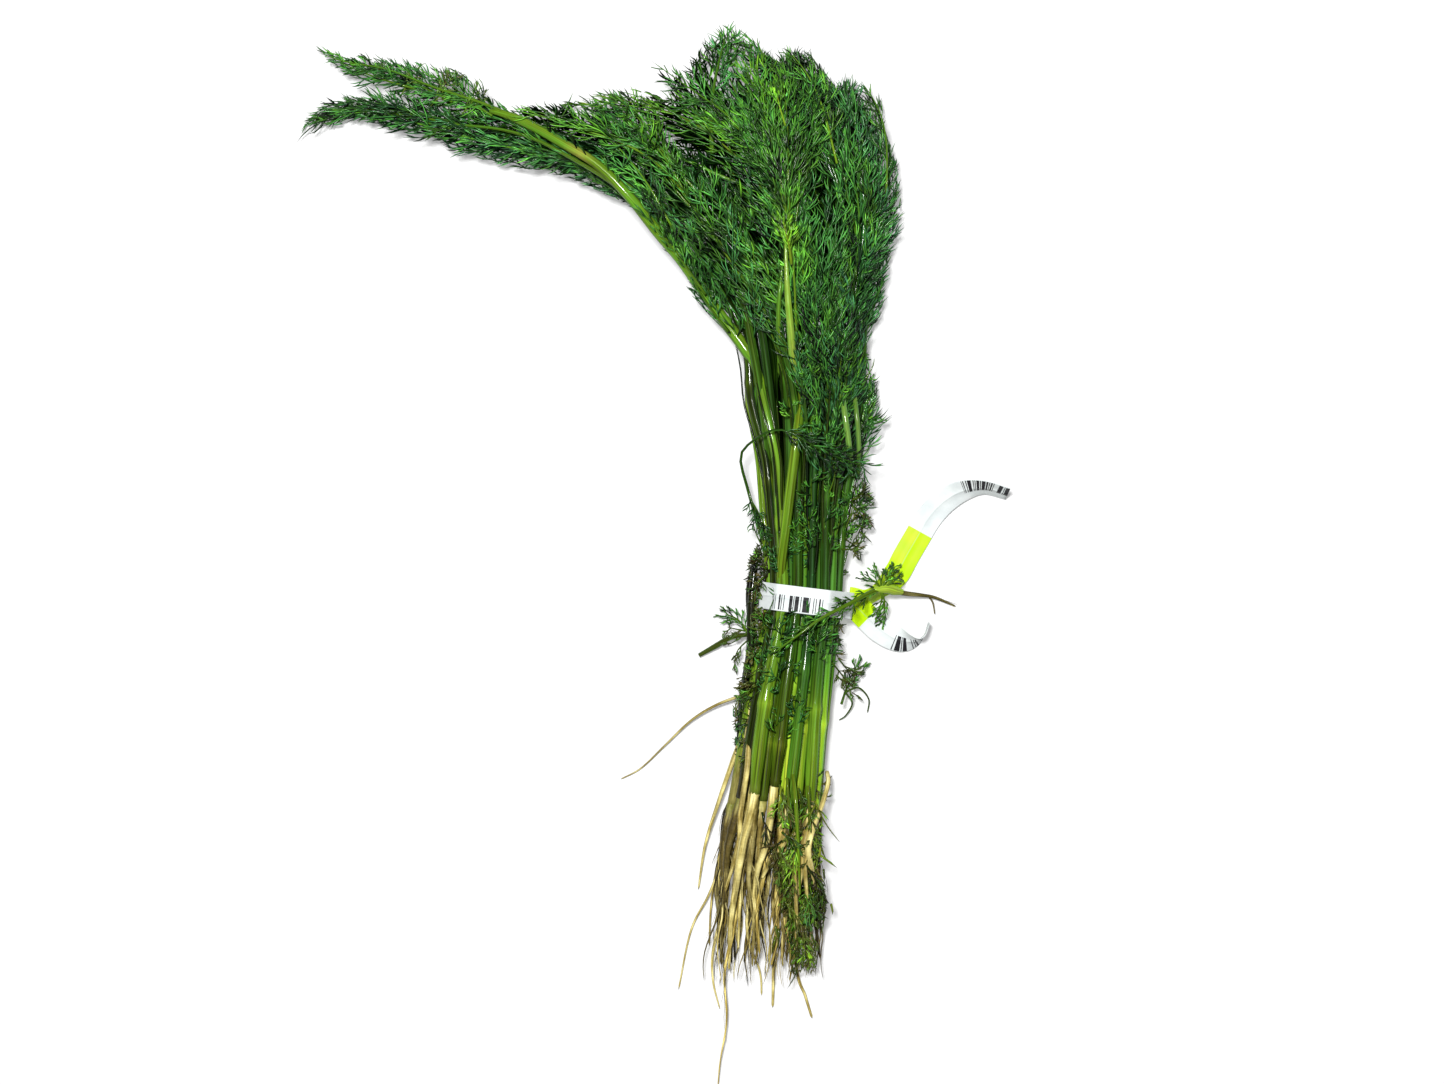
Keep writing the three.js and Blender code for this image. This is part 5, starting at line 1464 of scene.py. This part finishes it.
def floor_material():
    """White, and bright enough to stay white at the picture's edges."""
    nodes = Nodes("floor_white", 0.9)
    nodes.color(nodes.ramp(nodes.space_noise(3), FLOOR_WHITES))
    nodes.shader.inputs["Emission Color"].default_value = (1, 1, 1, 1)
    nodes.shader.inputs["Emission Strength"].default_value = 0.33
    return nodes.material


# ---------------------------------------------------------------- the whole bunch

leaf_look = leaf_material("dill_leaf", roughness=0.6, coat=0.35, specular=0.1, painted_brightness=1.0)
# The darker, matte copy of the leaf paints the shade of the leaves that lie under others.
shaded_leaf_look = leaf_material("dill_leaf_painted_shade", roughness=0.9, coat=0.0, specular=0.0, painted_brightness=0.45)
stem_look = stem_material("dill_stem", coat=0.28, specular=0.03)
deep_stem_look = stem_material("dill_stem_deep", coat=0.0, specular=0.0)
root_look, paper_look = root_material(), paper_material()
shoot_looks = [stem_look, leaf_look, shaded_leaf_look, deep_stem_look]  # in the order of STEM, LEAF, ...
for plant in PLANTS:
    grow_plant(plant).finish(f"plant_{plant.name}", "leaf", f"shoot_{plant.name}", shoot_looks)
    grow_root(plant).finish(f"taproot_{plant.name}", "root", f"root_{plant.name}", [root_look])
for node, part in loose_leaves():
    part.finish(f"loose_{node}", "leaf", node, [stem_look, leaf_look])
tied_root().finish("loose_sprig_in_tie_root", "root", "sprig_in_tie_root", [root_look])
stray_root().finish("loose_stray_root", "root", "stray_root", [root_look])
grow_tie().finish("ribbon_tie", "paper", "tie", [paper_look])

# ---------------------------------------------------------------- stage

FLOOR_SIZE, WORLD_LIGHT = 3.0, 0.01
SENSOR_WIDTH, LENS = 36.0, 82.3
# The lamps: place, size and power.
KEY, FILL = ((-0.24, 0.34, 1.8), 0.3, 61), ((0.7, -0.4, 1.9), 0.8, 4)
CENTRE = Vector((0, 0, 0))


def lay_floor():
    mesh = bpy.data.meshes.new("floor")
    corners = [(x * FLOOR_SIZE, y * FLOOR_SIZE, 0) for x, y in ((-1, -1), (1, -1), (1, 1), (-1, 1))]
    mesh.from_pydata(corners, [], [(0, 1, 2, 3)])
    mesh.materials.append(floor_material())
    floor = bpy.data.objects.new("floor", mesh)
    bpy.context.scene.collection.objects.link(floor)


def lamp(name, at, size, power):
    """A round lamp that shines at the centre."""
    data = bpy.data.lights.new(name, "AREA")
    data.shape, data.size, data.energy = "DISK", size, power
    light = bpy.data.objects.new(name, data)
    light.location = at
    light.rotation_euler = (CENTRE - Vector(at)).to_track_quat("-Z", "Y").to_euler()
    bpy.context.scene.collection.objects.link(light)


def light_world():
    world = bpy.data.worlds.new("studio")
    world.use_nodes = True
    background = world.node_tree.nodes["Background"]
    background.inputs["Color"].default_value = (1, 1, 1, 1)
    background.inputs["Strength"].default_value = WORLD_LIGHT
    bpy.context.scene.world = world
    bpy.context.scene.view_settings.view_transform = "Standard"


def place_camera():
    """Straight above the bunch."""
    data = bpy.data.cameras.new("camera")
    data.sensor_width, data.lens = SENSOR_WIDTH, LENS
    camera = bpy.data.objects.new("camera", data)
    camera.location = (CAMERA_X * METRES, CAMERA_Y * METRES, CAMERA_HEIGHT * METRES)
    bpy.context.scene.collection.objects.link(camera)
    bpy.context.scene.camera = camera


lay_floor()
lamp("key", *KEY)
lamp("fill", *FILL)
light_world()
place_camera()
